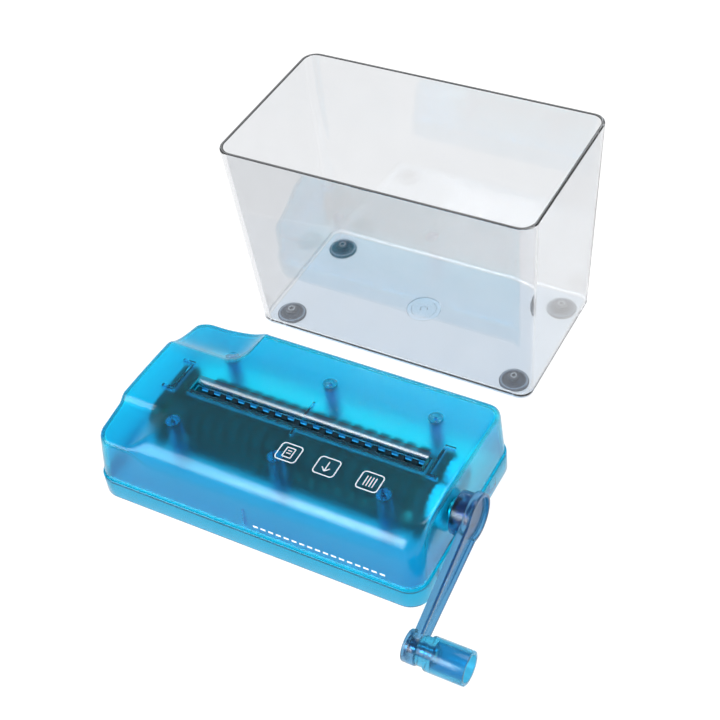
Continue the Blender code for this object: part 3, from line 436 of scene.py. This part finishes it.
def make_bin():
    """The tub from its underside up the outside, over the rim and down the inside."""
    floor = BIN_BOTTOM + BIN_WALL
    rings = [level(grown(BIN_FLOOR_HALF, -2.4), 3.6, BIN_BOTTOM)]
    rings += fillet(BIN_FLOOR_HALF, 6.0, BIN_BOTTOM)
    rings.append(level(grown(BIN_FLOOR_HALF, 0.02), 6.0, BIN_BOTTOM + 2.0))
    rim = len(rings)
    rings += [level(grown(BIN_RIM_HALF, -inset), radius, BIN_TOP - drop) for inset, radius, drop in BIN_RIM]
    rings.append(level(grown(BIN_FLOOR_HALF, 0.02 - BIN_WALL), 5.0, floor + 2.0))
    rings += reversed(fillet(grown(BIN_FLOOR_HALF, -BIN_WALL), 5.0, floor))
    rings.append(level(grown(BIN_FLOOR_HALF, -4.1), 2.6, floor))
    bm = bmesh.new()
    faces = add_rings(bm, rings)
    count = len(rings[0])
    top = rim + 3
    # The rim's flat top takes the painted shade.
    paint(faces[top * count:(top + 1) * count], BIN_RIM_SHADE)
    paint(faces[:count] + faces[(len(rings) - 2) * count:], BIN_FLOOR)
    # The outer bottom edge takes the painted light.
    paint(faces[count:(rim - 1) * count], BIN_LIT_EDGE)
    tub = make_object("clear_bin", bm, BIN_MATS, "bin", BIN_AT)
    cuts = bmesh.new()
    for place in foot_places():
        turned(cuts, [(-1, 0), (-1, 2.2), (8, 2.2), (8, 0)], 24, "Z", place, index=BIN_FLOOR)
    turned(cuts, [(1.0, 0), (1.0, 8.6), (2.5, 8.6), (2.7, 8.4), (2.7, 6.4), (2.45, 6.2), (2.45, 2.0),
                  (2.9, 1.6), (2.9, 0)], 48, "Z", index=BIN_GATE)
    cutter = make_object("cut", cuts, BIN_MATS, None, BIN_AT)
    boolean(tub, cutter, "DIFFERENCE")
    settle(tub, cutter)
    stand_for("bin")


def make_feet():
    """Rubber feet, with painted highlights on the stem's end and on the sole's edge."""
    steps = 48
    stem_highlight, sole_highlight = 9, 22
    profile = [(0.35, 0.0), (0.35, 2.6), (0.0, 3.0), (0.0, 6.2), (0.15, 6.8), (0.5, 7.15), (0.8, 7.2),
               (1.4, 7.2), (1.75, 7.05), (1.9, 6.7), (1.9, 5.9), (1.9, 5.2), (1.55, 4.9), (1.55, 3.6),
               (1.9, 3.3), (1.9, 1.9), (4.2, 1.9), (4.2, 2.7), (4.35, 3.0), (4.9, 3.0), (5.2, 2.8),
               (5.3, 2.4), (5.3, 1.8), (5.3, 1.1), (4.5, 0.9), (4.5, 0.0)]
    for number, place in enumerate(foot_places(), 1):
        bm = bmesh.new()
        faces = turned(bm, profile, steps, "Z", place)
        for ring in (stem_highlight, sole_highlight):
            paint(faces[ring * steps:(ring + 1) * steps], 1)
        foot = make_object(f"rubber_foot_{number}", bm, [RUBBER, RUBBER_HIGHLIGHT], "bin", BIN_AT)
        stand_for(f"bin_foot_{number}")


# ---------------------------------------------------------------- base of the head

def boss_places():
    return [(x, y) for y in BOSS_Y for x in BOSS_X]


def make_base():
    """The skirt with the deck inside it, guides for the bin's rim, and holes for strips and screws."""
    rings = [level(grown(BASE_HALF, -inset), radius, z) for inset, radius, z in BASE_RINGS]
    bm = bmesh.new()
    faces = add_rings(bm, rings)
    paint(faces[-2:], DECK)
    base = make_object("base_skirt", bm, BASE_MATS, "head", HEAD_AT)
    guides = bmesh.new()
    for side in (-1, 1):
        for y in (-25, 25):
            x = sorted((side * 77.8, side * (BASE_HALF[0] - 0.9)))
            add_box(guides, x, (y - 3, y + 3), (1.5, 9.0))
    extra = make_object("guides", guides, BASE_MATS, None, HEAD_AT)
    boolean(base, extra, "UNION")
    holes = bmesh.new()
    add_box(holes, (-56.0, 63.4), (-13.5, 9.4), (6, 12))
    for place in boss_places():
        turned(holes, [(6, 0), (6, 1.6), (12, 1.6), (12, 0)], 24, "Z", place)
    cutter = make_object("cut", holes, BASE_MATS, None, HEAD_AT)
    boolean(base, cutter, "DIFFERENCE")
    settle(base, extra, cutter)
    stand_for("base_frame")


# ---------------------------------------------------------------- cover

def smooth_step(value, start, end):
    share = min(max((value - start) / (end - start), 0.0), 1.0)
    return share * share * (3 - 2 * share)


def shoulder(x):
    """From 0 on the long part to 1 on the lower left end."""
    return smooth_step(x, *SHOULDER_X)


def scoop_depth(x, y):
    dx, dy = SCOOP_X - x, y - SCOOP_Y
    if dx < SCOOP_CORNER and dy < SCOOP_CORNER:
        reach = max(SCOOP_CORNER - hypot(SCOOP_CORNER - dx, SCOOP_CORNER - dy), 0.0)
    else:
        reach = max(min(dx, dy), 0.0)
    return SCOOP_DEPTH * (1 - exp(-reach / SCOOP_EASE)) + SCOOP_SLOPE * reach


def top_height(x, y):
    crown = CROWN * ((y - CROWN_Y) / CROWN_REACH) ** 2
    drop = SHOULDER_DROP * smooth_step(y, *SHOULDER_Y) + SHOULDER_SLOPE * max(SHOULDER_Y[1] - y, 0.0)
    return COVER_TOP - crown - shoulder(x) * drop - scoop_depth(x, y)


def end_inset(radius, from_end):
    """How far a rounded edge has drawn back at a distance from the end."""
    if from_end >= radius:
        return 0.0
    return radius - sqrt(radius ** 2 - (radius - from_end) ** 2)


def section_parts(x, inset=0.0):
    """The section's half width, corner drop, radii and the middles of its edges. inset draws it inwards."""
    from_end = COVER_HALF[0] - inset - abs(x)
    wall = COVER_HALF[1] - inset - end_inset(PLAN_RADIUS - inset, from_end)
    lowered = end_inset(max(END_RADIUS - inset, 0.6), from_end)
    back = max(BACK_RADIUS - BACK_LOSS * smooth_step(x, SCOOP_X + 1, SCOOP_X - 3) - inset, 0.5)
    front = max(FRONT_RADIUS - FRONT_LOSS * shoulder(x) - inset, 0.5)
    height = COVER_TOP - COVER_BOTTOM
    back_arc = wall - BACK_DRAFT * height - back
    front_arc = -wall + FRONT_DRAFT * (height - front) + front
    return wall, lowered, back, front, back_arc, front_arc


def cover_section(x, inset=0.0):
    """The cover's outline across X, from the back wall's foot over the top to the front wall's foot."""
    wall, lowered, back, front, back_arc, front_arc = section_parts(x, inset)

    def top(y):
        return top_height(x, y) - lowered - inset

    points = [(wall, COVER_BOTTOM), (wall - 0.02, COVER_BOTTOM + 0.6)]
    points += arc((back_arc, top(back_arc) - back), back, 0, 90, 8)
    for i in range(1, 13):
        y = back_arc + (SCOOP_Y - 1 - back_arc) * i / 12
        points.append((y, top(y)))
    for i, y in enumerate((12, 6, 0, -6, -12, -15, -17, -18.5, -20, -21.5)):
        y = max(y, front_arc + 0.02 * (10 - i))
        points.append((y, top(y)))
    points += arc((front_arc, top(front_arc) - front), front, 90, 180, 16)
    points += [(-wall + 0.02, COVER_BOTTOM + 0.6), (-wall, COVER_BOTTOM)]
    return points


def cover_stations(inset=0.0):
    """Where the sections stand along X: close together where the ends round off and the top changes."""
    share = (PLAN_RADIUS - inset) / PLAN_RADIUS
    half = COVER_HALF[0] - inset
    ends = [e * share for e in (0.0, 0.08, 0.3, 0.65, 1.1, 1.7, 2.6, 3.8, 5.2, 6.8, 8.6)]
    left = [-half + e for e in ends] + [-70.0, -67.0]
    middle = [SHOULDER_X[1] + (SHOULDER_X[0] - SHOULDER_X[1]) * i / 10 for i in range(11)]
    scoop = [-49.0, -48.0, -47.0, -46.0, -45.0, -44.0, -43.0, -42.0, -41.2, -40.5, -39.5]
    long = [-36.0 + 9.0 * i for i in range(12)]
    right = [half - e for e in reversed(ends)]
    return left + middle + scoop + long + right


def cover_point(x, y, z, inset=0.0):
    """A section's point, leaning in with the end wall's draft."""
    near_end = 1 - min((COVER_HALF[0] - inset - abs(x)) / (PLAN_RADIUS - inset), 1.0)
    lean = END_DRAFT * (z - COVER_BOTTOM) * near_end
    return (x - lean if x > 0 else x + lean, y, z)


def cover_rows(bm, inset):
    rows = []
    for x in cover_stations(inset):
        points = [cover_point(x, y, z, inset) for y, z in cover_section(x, inset)]
        rows.append([bm.verts.new(p) for p in scaled(points)])
    return rows


def skin(bm, rows, index):
    faces = []
    for left, right in zip(rows, rows[1:]):
        for i in range(len(left) - 1):
            faces.append(bm.faces.new((left[i], left[i + 1], right[i + 1], right[i])))
    faces.append(bm.faces.new(rows[0]))
    faces.append(bm.faces.new(rows[-1]))
    paint(faces, index)


def make_cover():
    """The cover's outer and inner surfaces, joined round the open bottom."""
    bm = bmesh.new()
    outer, inner = cover_rows(bm, 0.0), cover_rows(bm, COVER_WALL)
    skin(bm, outer, 0)
    skin(bm, inner, INSIDE)
    for a, b, c, d in zip(outer, outer[1:], inner, inner[1:]):
        bm.faces.new((a[0], b[0], d[0], c[0]))
        bm.faces.new((a[-1], b[-1], d[-1], c[-1]))
    for a, c in ((outer[0], inner[0]), (outer[-1], inner[-1])):
        bm.faces.new((a[0], a[-1], c[-1], c[0]))
    cover = make_object("blue_cover", bm, COVER_MATS, "head", HEAD_AT)
    added, cut = cover_additions(), cover_cuts()
    boolean(cover, added, "UNION")
    boolean(cover, cut, "DIFFERENCE")
    settle(cover, added, cut)
    stand_for("top_cover")


def add_boss(bm, x, y):
    """A screw boss under the top, with a dark band of painted shade where it meets it."""
    steps = 32
    end = top_height(x, y) - BOSS_SINK
    profile = [(10.3, 0), (10.3, 3.2), (13, BOSS_RADIUS), (end - 2.9, BOSS_RADIUS), (end - 0.9, BOSS_RADIUS),
               (end, BOSS_RADIUS), (end, 0)]
    faces = turned(bm, profile, steps, "Z", (x, y), index=RIBS)
    paint(faces[3 * steps:4 * steps], BOSS_SHADE_BAND)


def add_channels(bm):
    """A channel-shaped rib under the top at each end of the slot."""
    top = top_height(0, 12) - 1.0
    for web, tip in ((-59.6, -66.0), (66.0, 71.0)):
        side = 1 if tip > web else -1
        add_box(bm, sorted((web, web + RIB * side)), CHANNEL_Y, (THROAT_BOTTOM, top), RIBS)
        for y in (CHANNEL_Y[0], CHANNEL_Y[1] - RIB):
            add_box(bm, sorted((web + 0.1 * side, tip)), (y, y + RIB), (THROAT_BOTTOM, top - 0.05), RIBS)


def cover_additions():
    """Bosses, the slot's throat, channels, paper guides, and the small ribs on the top and the front."""
    bm = bmesh.new()
    for x, y in boss_places():
        add_boss(bm, x, y)
    throat = [(span[0] - 1.3, span[1] + 1.3) for span in (SLOT_X, SLOT_Y)]
    add_box(bm, *throat, (THROAT_BOTTOM, top_height(0, SLOT_Y[1]) - 1.0), RIBS)
    add_channels(bm)
    for i in range(GUIDES):
        x = FIRST_DISC + i * PITCH
        add_box(bm, (x - GUIDE_HALF, x + GUIDE_HALF), (SLOT_Y[1] - 0.1, 2.8), (32.4, THROAT_BOTTOM), FINGERS)
    for y in ((3.0, 12.0), (-9.0, -5.2)):
        add_box(bm, (2.1, 3.1), y, (THROAT_BOTTOM + 0.3, top_height(0, 12) - 1.0), RIBS)
    add_box(bm, (-4.1, -3.0), (-43.6, -41.2), (11.4, 21.0), RIBS)
    return make_object("cover_additions", bm, COVER_MATS, None, HEAD_AT)


def slot_outline():
    """The slot's section: a small round in front and a rolled lip behind."""
    front_y, rear_y = SLOT_Y
    front = top_height(0, front_y)
    rear = top_height(0, rear_y + SLOT_LIP) + 0.05
    outline = [(front_y, THROAT_BOTTOM - 1)]
    outline += arc((front_y - SLOT_NOSE, front - SLOT_NOSE), SLOT_NOSE, 0, 90, 4)
    outline += [(front_y - SLOT_NOSE, front + 3), (rear_y + SLOT_LIP, front + 3)]
    outline += arc((rear_y + SLOT_LIP, rear - SLOT_LIP), SLOT_LIP, 90, 180, 10)
    outline += [(rear_y, THROAT_BOTTOM - 1)]
    return outline


def cover_cuts():
    """The slot, the screw holes and the crank's hole."""
    bm = bmesh.new()
    faces = prism_x(bm, slot_outline(), *SLOT_X)
    # The lip's faces take the painted shade.
    paint(faces[8:19], LIP_SHADE)
    for x, y in boss_places():
        end = top_height(x, y)
        hole = [(9, 0), (9, 1.5), (24, 1.5), (25, 0.9), (end - 3.5, 0.9), (end - 3.0, 0)]
        turned(bm, hole, 20, "Z", (x, y), index=RIBS)
    turned(bm, [(76, 0), (76, 4.5), (83, 4.5), (83, 0)], 48, "X", (FRONT_Y, AXIS_Z))
    return make_object("cover_cuts", bm, COVER_MATS, None, HEAD_AT)


def make_screws():
    profile = [(6.0, 0), (6.0, 1.2), (6.15, 2.0), (6.5, 2.6), (7.0, 2.8), (7.6, 2.8), (7.7, 2.7), (7.7, 1.2),
               (20.5, 1.2), (22.0, 0.3), (22.0, 0)]
    long, short = 1.5, 0.3
    for number, (x, y) in enumerate(boss_places(), 1):
        bm = bmesh.new()
        turned(bm, profile, 32, "Z", (x, y))
        screw = make_object(f"pan_screw_{number}", bm, [SCREW], "head", HEAD_AT)
        cross = bmesh.new()
        for wide, deep in ((long, short), (short, long)):
            add_box(cross, (x - wide, x + wide), (y - deep, y + deep), (5.0, 7.1))
        cutter = make_object("cut", cross, [SCREW], None, HEAD_AT)
        boolean(screw, cutter, "DIFFERENCE")
        settle(screw, cutter)
        stand_for(f"cover_screw_{number}")


# ---------------------------------------------------------------- cutters, gears and shafts

def on_axis(y):
    return HEAD_AT + Vector((0, y, AXIS_Z)) * MM


def disc_ring(x, radius, turn, steps):
    """A ring whose radius dips into a notch at each tooth."""
    points = []
    for i in range(steps):
        angle = 2 * pi * i / steps
        phase = ((angle + turn) * DISC_TEETH / (2 * pi)) % 1.0
        reach = radius - NOTCH_DEPTH * max(0.0, 1 - abs(phase - NOTCH_HALF) / NOTCH_HALF)
        points.append((x, reach * cos(angle), reach * sin(angle)))
    return points


def make_cutter(name, node, body, y, first, count):
    """A sleeve with a row of notched discs, each turned a little from the one before it."""
    steps, disc_half, ease, twist = 72, 1.45, 0.1, 0.35
    left, right = ROLLER_ENDS
    rings = [circle_x(left, BORE_RADIUS, steps), circle_x(left, SLEEVE_RADIUS, steps)]
    for index in range(count):
        middle = first + index * PITCH
        start, end = middle - disc_half, middle + disc_half
        rings.append(circle_x(start, SLEEVE_RADIUS, steps))
        for x, radius in ((start, DISC_RADIUS - ease), (start + ease, DISC_RADIUS),
                          (end - ease, DISC_RADIUS), (end, DISC_RADIUS - ease)):
            rings.append(disc_ring(x, radius, index * twist, steps))
        rings.append(circle_x(end, SLEEVE_RADIUS, steps))
    rings += [circle_x(right, SLEEVE_RADIUS, steps), circle_x(right, BORE_RADIUS, steps)]
    bm = bmesh.new()
    add_rings(bm, rings, loop=True)
    made = make_object(name, bm, [CUTTER], body, on_axis(y))
    stand_for(node)


def gear_outline(phase, grow=0.0):
    """A tooth's flanks, from (share of the pitch, radius) points, for every tooth."""
    flank = ((0.27, 6.6), (0.21, 7.0), (0.16, 7.6), (0.11, 8.15), (0.08, 8.25))
    tooth_points = [(-share, radius) for share, radius in flank] + list(reversed(flank))
    pitch = 2 * pi / GEAR_TEETH
    points = []
    for tooth in range(GEAR_TEETH):
        for share, radius in tooth_points:
            angle = pitch * (tooth + phase) + share * pitch
            points.append(((radius + grow) * cos(angle), (radius + grow) * sin(angle)))
    return points


def make_gear(name, node, body, y, phase):
    """A spur gear with a recess round its hub on both faces. Hub rings start at the first tooth's root."""
    left, right = GEAR_X
    steps = len(gear_outline(phase))
    root = 2 * pi * (phase - 0.27) / GEAR_TEETH

    def hub_ring(x, radius):
        turns = [2 * pi * i / steps + root for i in range(steps)]
        return [(x, radius * cos(turn), radius * sin(turn)) for turn in turns]

    inner = ((0.0, BORE_RADIUS), (0.0, 4.6), (0.8, 4.8), (0.8, 5.7), (0.0, 5.9))
    rings = [hub_ring(left + sunk, radius) for sunk, radius in inner]
    for x, grow in ((left, -0.3), (left + 0.2, 0.0), (right - 0.2, 0.0), (right, -0.3)):
        rings.append([(x, a, b) for a, b in gear_outline(phase, grow)])
    rings += [hub_ring(right - sunk, radius) for sunk, radius in reversed(inner)]
    bm = bmesh.new()
    add_rings(bm, rings, loop=True)
    made = make_object(name, bm, [NYLON], body, on_axis(y))
    stand_for(node)


def make_shaft(name, node, body, y, right):
    left = -67.5
    bm = bmesh.new()
    turned(bm, [(left, 0), (left, 2.5), (left + 0.4, SHAFT_RADIUS), (right - 0.4, SHAFT_RADIUS),
                (right, 2.6), (right, 0)], 48)
    made = make_object(name, bm, [STEEL], body, on_axis(y))
    stand_for(node)


def make_clip(name, node, body, y, start):
    """An E-clip: a ring with an open side and two notches inside."""
    outer = arc((0, 0), 5.0, -60, 240, 30)
    inner = []
    for i in range(31):
        angle = radians(240 - 300 * i / 30)
        notch = 0.7 if 8 <= i <= 11 or 19 <= i <= 22 else 0.0
        inner.append(((3.35 + notch) * cos(angle), (3.35 + notch) * sin(angle)))
    bm = bmesh.new()
    prism_x(bm, outer + inner, start, start + 0.8)
    made = make_object(name, bm, [SCREW], body, on_axis(y))
    bevel(made, 0.12, 1)
    settle(made)
    stand_for(node)


# ---------------------------------------------------------------- crank and knob

def crank_outline(inset):
    """A round head and a round end, joined by straight sides that narrow towards the end."""
    head, end = 11.0 - inset, 6.9 - inset
    root, tip = 8.2 - inset, 5.4 - inset
    root_angle = 180 * atan2(root, sqrt(head ** 2 - root ** 2)) / pi
    tip_angle = 180 * atan2(tip, sqrt(end ** 2 - tip ** 2)) / pi
    points = arc((0.0, 0.0), head, -(180 - root_angle), 180 - root_angle, 48)
    points += arc((-CRANK_LENGTH, 0.0), end, tip_angle, 360 - tip_angle, 36)
    return points


def crank_level(x, inset):
    return [(x, y, z) for y, z in crank_outline(inset)]


def crank_place():
    return Matrix.Translation(on_axis(FRONT_Y)) @ Matrix.Rotation(CRANK_DIP, 4, "X")


def place_mesh(obj, matrix):
    obj.data.transform(matrix)
    obj.data.update()


def make_crank():
    """The plate with its sunk front, its hub round the shaft, and the disc and boss at the knob's end."""
    bm = bmesh.new()
    add_rings(bm, [crank_level(x, inset) for x, inset in CRANK_PLATE])
    crank = make_object("crank_lever", bm, [BLUE_CRANK])
    added = bmesh.new()
    turned(added, [(81.7, 8.0), (81.7, 9.3), (82.0, 9.6), (88.2, 9.6), (88.2, 8.0)], 64)
    turned(added, [(81.9, BORE_RADIUS), (81.9, 4.7), (82.1, 4.9), (88.3, 4.9), (88.3, BORE_RADIUS)], 48)
    end = (-CRANK_LENGTH, 0.0)
    turned(added, [(88.1, 0), (88.1, 6.85), (86.1, 6.85), (85.8, 6.7), (85.7, 6.4), (85.7, 5.1), (85.9, 4.9),
                   (88.0, 4.9), (88.0, 0)], 56, "X", end)
    turned(added, [(89.6, 0), (89.6, 6.2), (91.1, 6.2), (91.25, 6.0), (91.25, 0)], 56, "X", end)
    extra = make_object("crank_additions", added, [BLUE_CRANK])
    cuts = bmesh.new()
    turned(cuts, [(84.0, 0), (84.0, BORE_RADIUS), (88.3, BORE_RADIUS), (88.3, 0)], 48)
    turned(cuts, [(86.5, 0), (86.5, 2.8), (92.5, 2.8), (92.5, 0)], 32, "X", end)
    cutter = make_object("cut", cuts, [BLUE_CRANK])
    boolean(crank, extra, "UNION")
    boolean(crank, cutter, "DIFFERENCE")
    settle(crank, extra, cutter)
    place_mesh(crank, crank_place())
    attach(crank, "front_drive")
    stand_for("crank_arm")


def knob_place():
    return crank_place() @ Matrix.Translation((0, -CRANK_LENGTH * MM, 0))


def make_pin():
    bm = bmesh.new()
    turned(bm, [(86.3, 0), (86.3, 3.6), (86.6, 4.1), (87.7, 4.2), (87.8, 4.1), (87.8, 2.5), (98.5, 2.5),
                (98.5, 4.1), (98.7, 4.2), (99.4, 4.1), (99.8, 3.5), (100.0, 2.4), (100.0, 0)], 48)
    pin = make_object("knob_rivet", bm, [STEEL])
    place_mesh(pin, knob_place())
    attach(pin, "front_drive")
    stand_for("knob_pin")


def make_knob():
    bm = bmesh.new()
    turned(bm, [(91.7, 2.8), (91.7, 5.9), (91.85, 6.2), (92.1, 6.3), (94.9, 6.3), (95.2, 6.4), (95.35, 6.7),
                (95.5, 7.1), (95.9, 7.3), (112.3, 7.3), (112.65, 7.2), (112.8, 6.9), (112.8, 6.0),
                (112.6, 5.75), (112.2, 5.7), (98.6, 5.55), (98.2, 5.2), (98.2, 2.8)], 72)
    knob = make_object("crank_knob", bm, [BLUE_KNOB])
    place_mesh(knob, knob_place())
    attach(knob, "knob")
    stand_for("knob")


# ---------------------------------------------------------------- printed marks

def outer_height(x, y):
    """The cover's outer surface over the front roll too."""
    _, lowered, _, front, _, front_arc = section_parts(x)
    if y > front_arc:
        return top_height(x, y) - lowered
    z = top_height(x, front_arc) - lowered - front
    return z + sqrt(max(front ** 2 - (front_arc - y) ** 2, 0.0))


def stroke(bm, points, width, lift):
    """A ribbon of ink along 2D points, laid on the cover. lift gives a point's place in space."""
    path = []
    for (ax, ay), (bx, by) in zip(points, points[1:]):
        steps = max(1, int(hypot(bx - ax, by - ay) / 0.5))
        path += [(ax + (bx - ax) * i / steps, ay + (by - ay) * i / steps) for i in range(steps)]
    path.append(points[-1])
    shut = hypot(points[0][0] - points[-1][0], points[0][1] - points[-1][1]) < 0.01
    if shut:
        path.pop()
    rings = []
    count = len(path)
    for i, (x, y) in enumerate(path):
        before = path[(i - 1) % count] if shut or i else path[i]
        after = path[(i + 1) % count] if shut or i < count - 1 else path[i]
        dx, dy = after[0] - before[0], after[1] - before[1]
        long = hypot(dx, dy) or 1.0
        nx, ny = -dy / long * width / 2, dx / long * width / 2
        rings.append([lift(x + nx, y + ny, 0.01), lift(x + nx, y + ny, 0.06), lift(x - nx, y - ny, 0.06),
                      lift(x - nx, y - ny, 0.01)])
    add_rings(bm, rings, loop=shut)


def on_top(x, y, above):
    return (x, y, outer_height(x, y) + above)


def on_front(x, z, above):
    """A place on the straight part of the front wall."""
    wall, lowered, _, front, _, front_arc = section_parts(x)
    low, high = COVER_BOTTOM + 0.6, top_height(x, front_arc) - lowered - front
    share = (z - low) / (high - low)
    return (x, (-wall + 0.02) * (1 - share) + (front_arc - front) * share - above, z)


def sign_strokes(kind):
    """The lines inside a sign, from its middle."""
    if kind == "sheet":
        page = [(-2, -2.6), (2, -2.6), (2, 2.6), (-2, 2.6), (-2, -2.6)]
        return [page, [(-1, 1), (1, 1)], [(-1, -0.4), (1, -0.4)]]
    if kind == "arrow":
        return [[(0, 2.8), (0, -2.4)], [(-1.9, -0.6), (0, -2.6)], [(1.9, -0.6), (0, -2.6)]]
    return [[(x, 2.6), (x, -2.6)] for x in (-2.1, -0.7, 0.7, 2.1)]


def make_marks():
    """Three plain framed signs on the top (a sheet, an arrow and strips) and a row of dashes in front."""
    bm = bmesh.new()
    for i in range(DASHES):
        start = 2.0 + DASH_STEP * i
        stroke(bm, [(start, DASH_Z), (start + DASH_LENGTH, DASH_Z)], 0.9, on_front)
    for cx, cy, kind in ((8.3, -19.4, "sheet"), (26.9, -19.8, "arrow"), (47.3, -19.8, "strips")):
        frame_line = [(cx + x, cy + y) for x, y in rounded((4.9, 4.6), 1.6, 5)]
        stroke(bm, frame_line + [frame_line[0]], 0.5, on_top)
        for line in sign_strokes(kind):
            stroke(bm, [(cx + x, cy + y) for x, y in line], 0.45, on_top)
    make_object("cover_marks", bm, [INK], "head", HEAD_AT)


# ---------------------------------------------------------------- CAD nodes kept, with finer edges

def dress(name, mat, width=0.25):
    obj = NODES[name]
    obj.data.materials.clear()
    obj.data.materials.append(mat)
    bevel(obj, width)


def dress_nodes():
    for name in ("bearing_plate_left", "bearing_plate_right"):
        dress(name, DARK, 0.4)
    for name in ("bush_front_left", "bush_rear_left", "bush_front_right", "bush_rear_right"):
        dress(name, BRASS, 0.15)
    dress("crank_bush", DARK, 0.15)
    for name in ("comb_front", "comb_rear"):
        dress(name, DARK, 0.15)


# ---------------------------------------------------------------- studio

def make_floor():
    """A round white table that glows a little, so that it stays white to its edge."""
    bm = bmesh.new()
    turns = [2 * pi * i / 64 for i in range(64)]
    centre = bm.verts.new((0, 0, 0))
    rows = [[bm.verts.new((radius * cos(turn), radius * sin(turn), 0)) for turn in turns]
            for radius in (0.3, 1.0, 3.0, 9.0)]
    for i in range(len(turns)):
        j = (i + 1) % len(turns)
        bm.faces.new((centre, rows[0][i], rows[0][j]))
        for low, high in zip(rows, rows[1:]):
            bm.faces.new((low[i], high[i], high[j], low[j]))
    mat, _, shader = new_material("white_table")
    shader.inputs["Base Color"].default_value = (0.16, 0.16, 0.16, 1)
    shader.inputs["Roughness"].default_value = 0.9
    shader.inputs["Specular IOR Level"].default_value = 0.0
    shader.inputs["Emission Color"].default_value = (1, 1, 1, 1)
    shader.inputs["Emission Strength"].default_value = 0.92
    floor = make_object("floor", bm, [mat], None, (0, 0, -0.0001))


def make_world():
    """A pale room: white round the horizon, dimmer overhead."""
    world = bpy.data.worlds.new("studio")
    bpy.context.scene.world = world
    world.use_nodes = True
    tree = world.node_tree
    where = tree.nodes.new("ShaderNodeTexCoord")
    split = tree.nodes.new("ShaderNodeSeparateXYZ")
    ramp = tree.nodes.new("ShaderNodeValToRGB")
    ramp.color_ramp.elements[0].position = 0.0
    ramp.color_ramp.elements[0].color = (1, 1, 1, 1)
    ramp.color_ramp.elements[1].position = 0.6
    ramp.color_ramp.elements[1].color = (0.37, 0.375, 0.39, 1)
    middle = ramp.color_ramp.elements.new(0.25)
    middle.color = (0.54, 0.55, 0.57, 1)
    tree.links.new(where.outputs["Generated"], split.inputs["Vector"])
    tree.links.new(split.outputs["Z"], ramp.inputs["Fac"])
    tree.links.new(ramp.outputs["Color"], tree.nodes["Background"].inputs["Color"])
    tree.nodes["Background"].inputs["Strength"].default_value = 1.03


def add_light(name, place, target, size, power):
    light = bpy.data.lights.new(name, "AREA")
    light.shape = "RECTANGLE"
    light.size, light.size_y = size
    light.energy = power
    obj = bpy.data.objects.new(name, light)
    bpy.context.scene.collection.objects.link(obj)
    obj.location = place
    obj.rotation_euler = (Vector(target) - Vector(place)).to_track_quat("-Z", "Y").to_euler()


def make_camera():
    """A camera turned by yaw and pitch, then rolled about its own line of sight."""
    yaw, pitch, roll = radians(-33.39), radians(44.17), radians(-7.37)
    forward = Vector((sin(yaw) * cos(pitch), cos(yaw) * cos(pitch), -sin(pitch)))
    side = Vector((cos(yaw), -sin(yaw), 0))
    over = side.cross(forward)
    right = cos(roll) * side + sin(roll) * over
    up = cos(roll) * over - sin(roll) * side
    data = bpy.data.cameras.new("camera")
    data.sensor_width = 36.0
    data.lens = 71.34
    data.clip_start = 0.01
    cam = bpy.data.objects.new("camera", data)
    bpy.context.scene.collection.objects.link(cam)
    turn = Matrix((right, up, -forward)).transposed()
    cam.matrix_world = Matrix.Translation((0.24539, -0.38330, 0.48194)) @ turn.to_4x4()
    bpy.context.scene.camera = cam


make_bin()
make_feet()
make_base()
make_cover()
make_screws()
make_cutter("front_roller", "front_cutter", "front_drive", FRONT_Y, FIRST_DISC, GUIDES)
make_cutter("rear_roller", "rear_cutter", "rear_drive", REAR_Y, FIRST_DISC + PITCH / 2, GUIDES - 1)
make_gear("front_spur_gear", "front_gear", "front_drive", FRONT_Y, 0.0)
make_gear("rear_spur_gear", "rear_gear", "rear_drive", REAR_Y, 0.5)
make_shaft("front_axle", "front_shaft", "front_drive", FRONT_Y, 88.0)
make_shaft("rear_axle", "rear_shaft", "rear_drive", REAR_Y, 77.4)
make_clip("e_clip_front_left", "clip_front_left", "front_drive", FRONT_Y, -66.0)
make_clip("e_clip_rear_left", "clip_rear_left", "rear_drive", REAR_Y, -66.0)
make_clip("e_clip_rear_right", "clip_rear_right", "rear_drive", REAR_Y, GEAR_X[1] + 0.3)
make_crank()
make_pin()
make_knob()
make_marks()
dress_nodes()

make_floor()
make_world()
add_light("front_softbox", (-0.53, -0.97, 0.65), (-0.02, -0.07, 0.03), (1.2, 0.75), 15)
add_light("top_softbox", (0.2, 0.5, 1.3), (0, 0, 0.03), (0.8, 0.5), 6)
add_light("near_softbox", (-0.33, -0.97, 0.65), (-0.02, -0.07, 0.03), (0.4, 0.4), 4)
add_light("right_strip", (1.1, 0.1, 0.5), (0, 0, 0.05), (0.25, 0.8), 1.5)
make_camera()

scene = bpy.context.scene
scene.view_settings.view_transform = "Standard"
scene.cycles.max_bounces = 32
scene.cycles.transmission_bounces = 28
scene.cycles.transparent_max_bounces = 32
scene.cycles.glossy_bounces = 6
scene.cycles.diffuse_bounces = 4
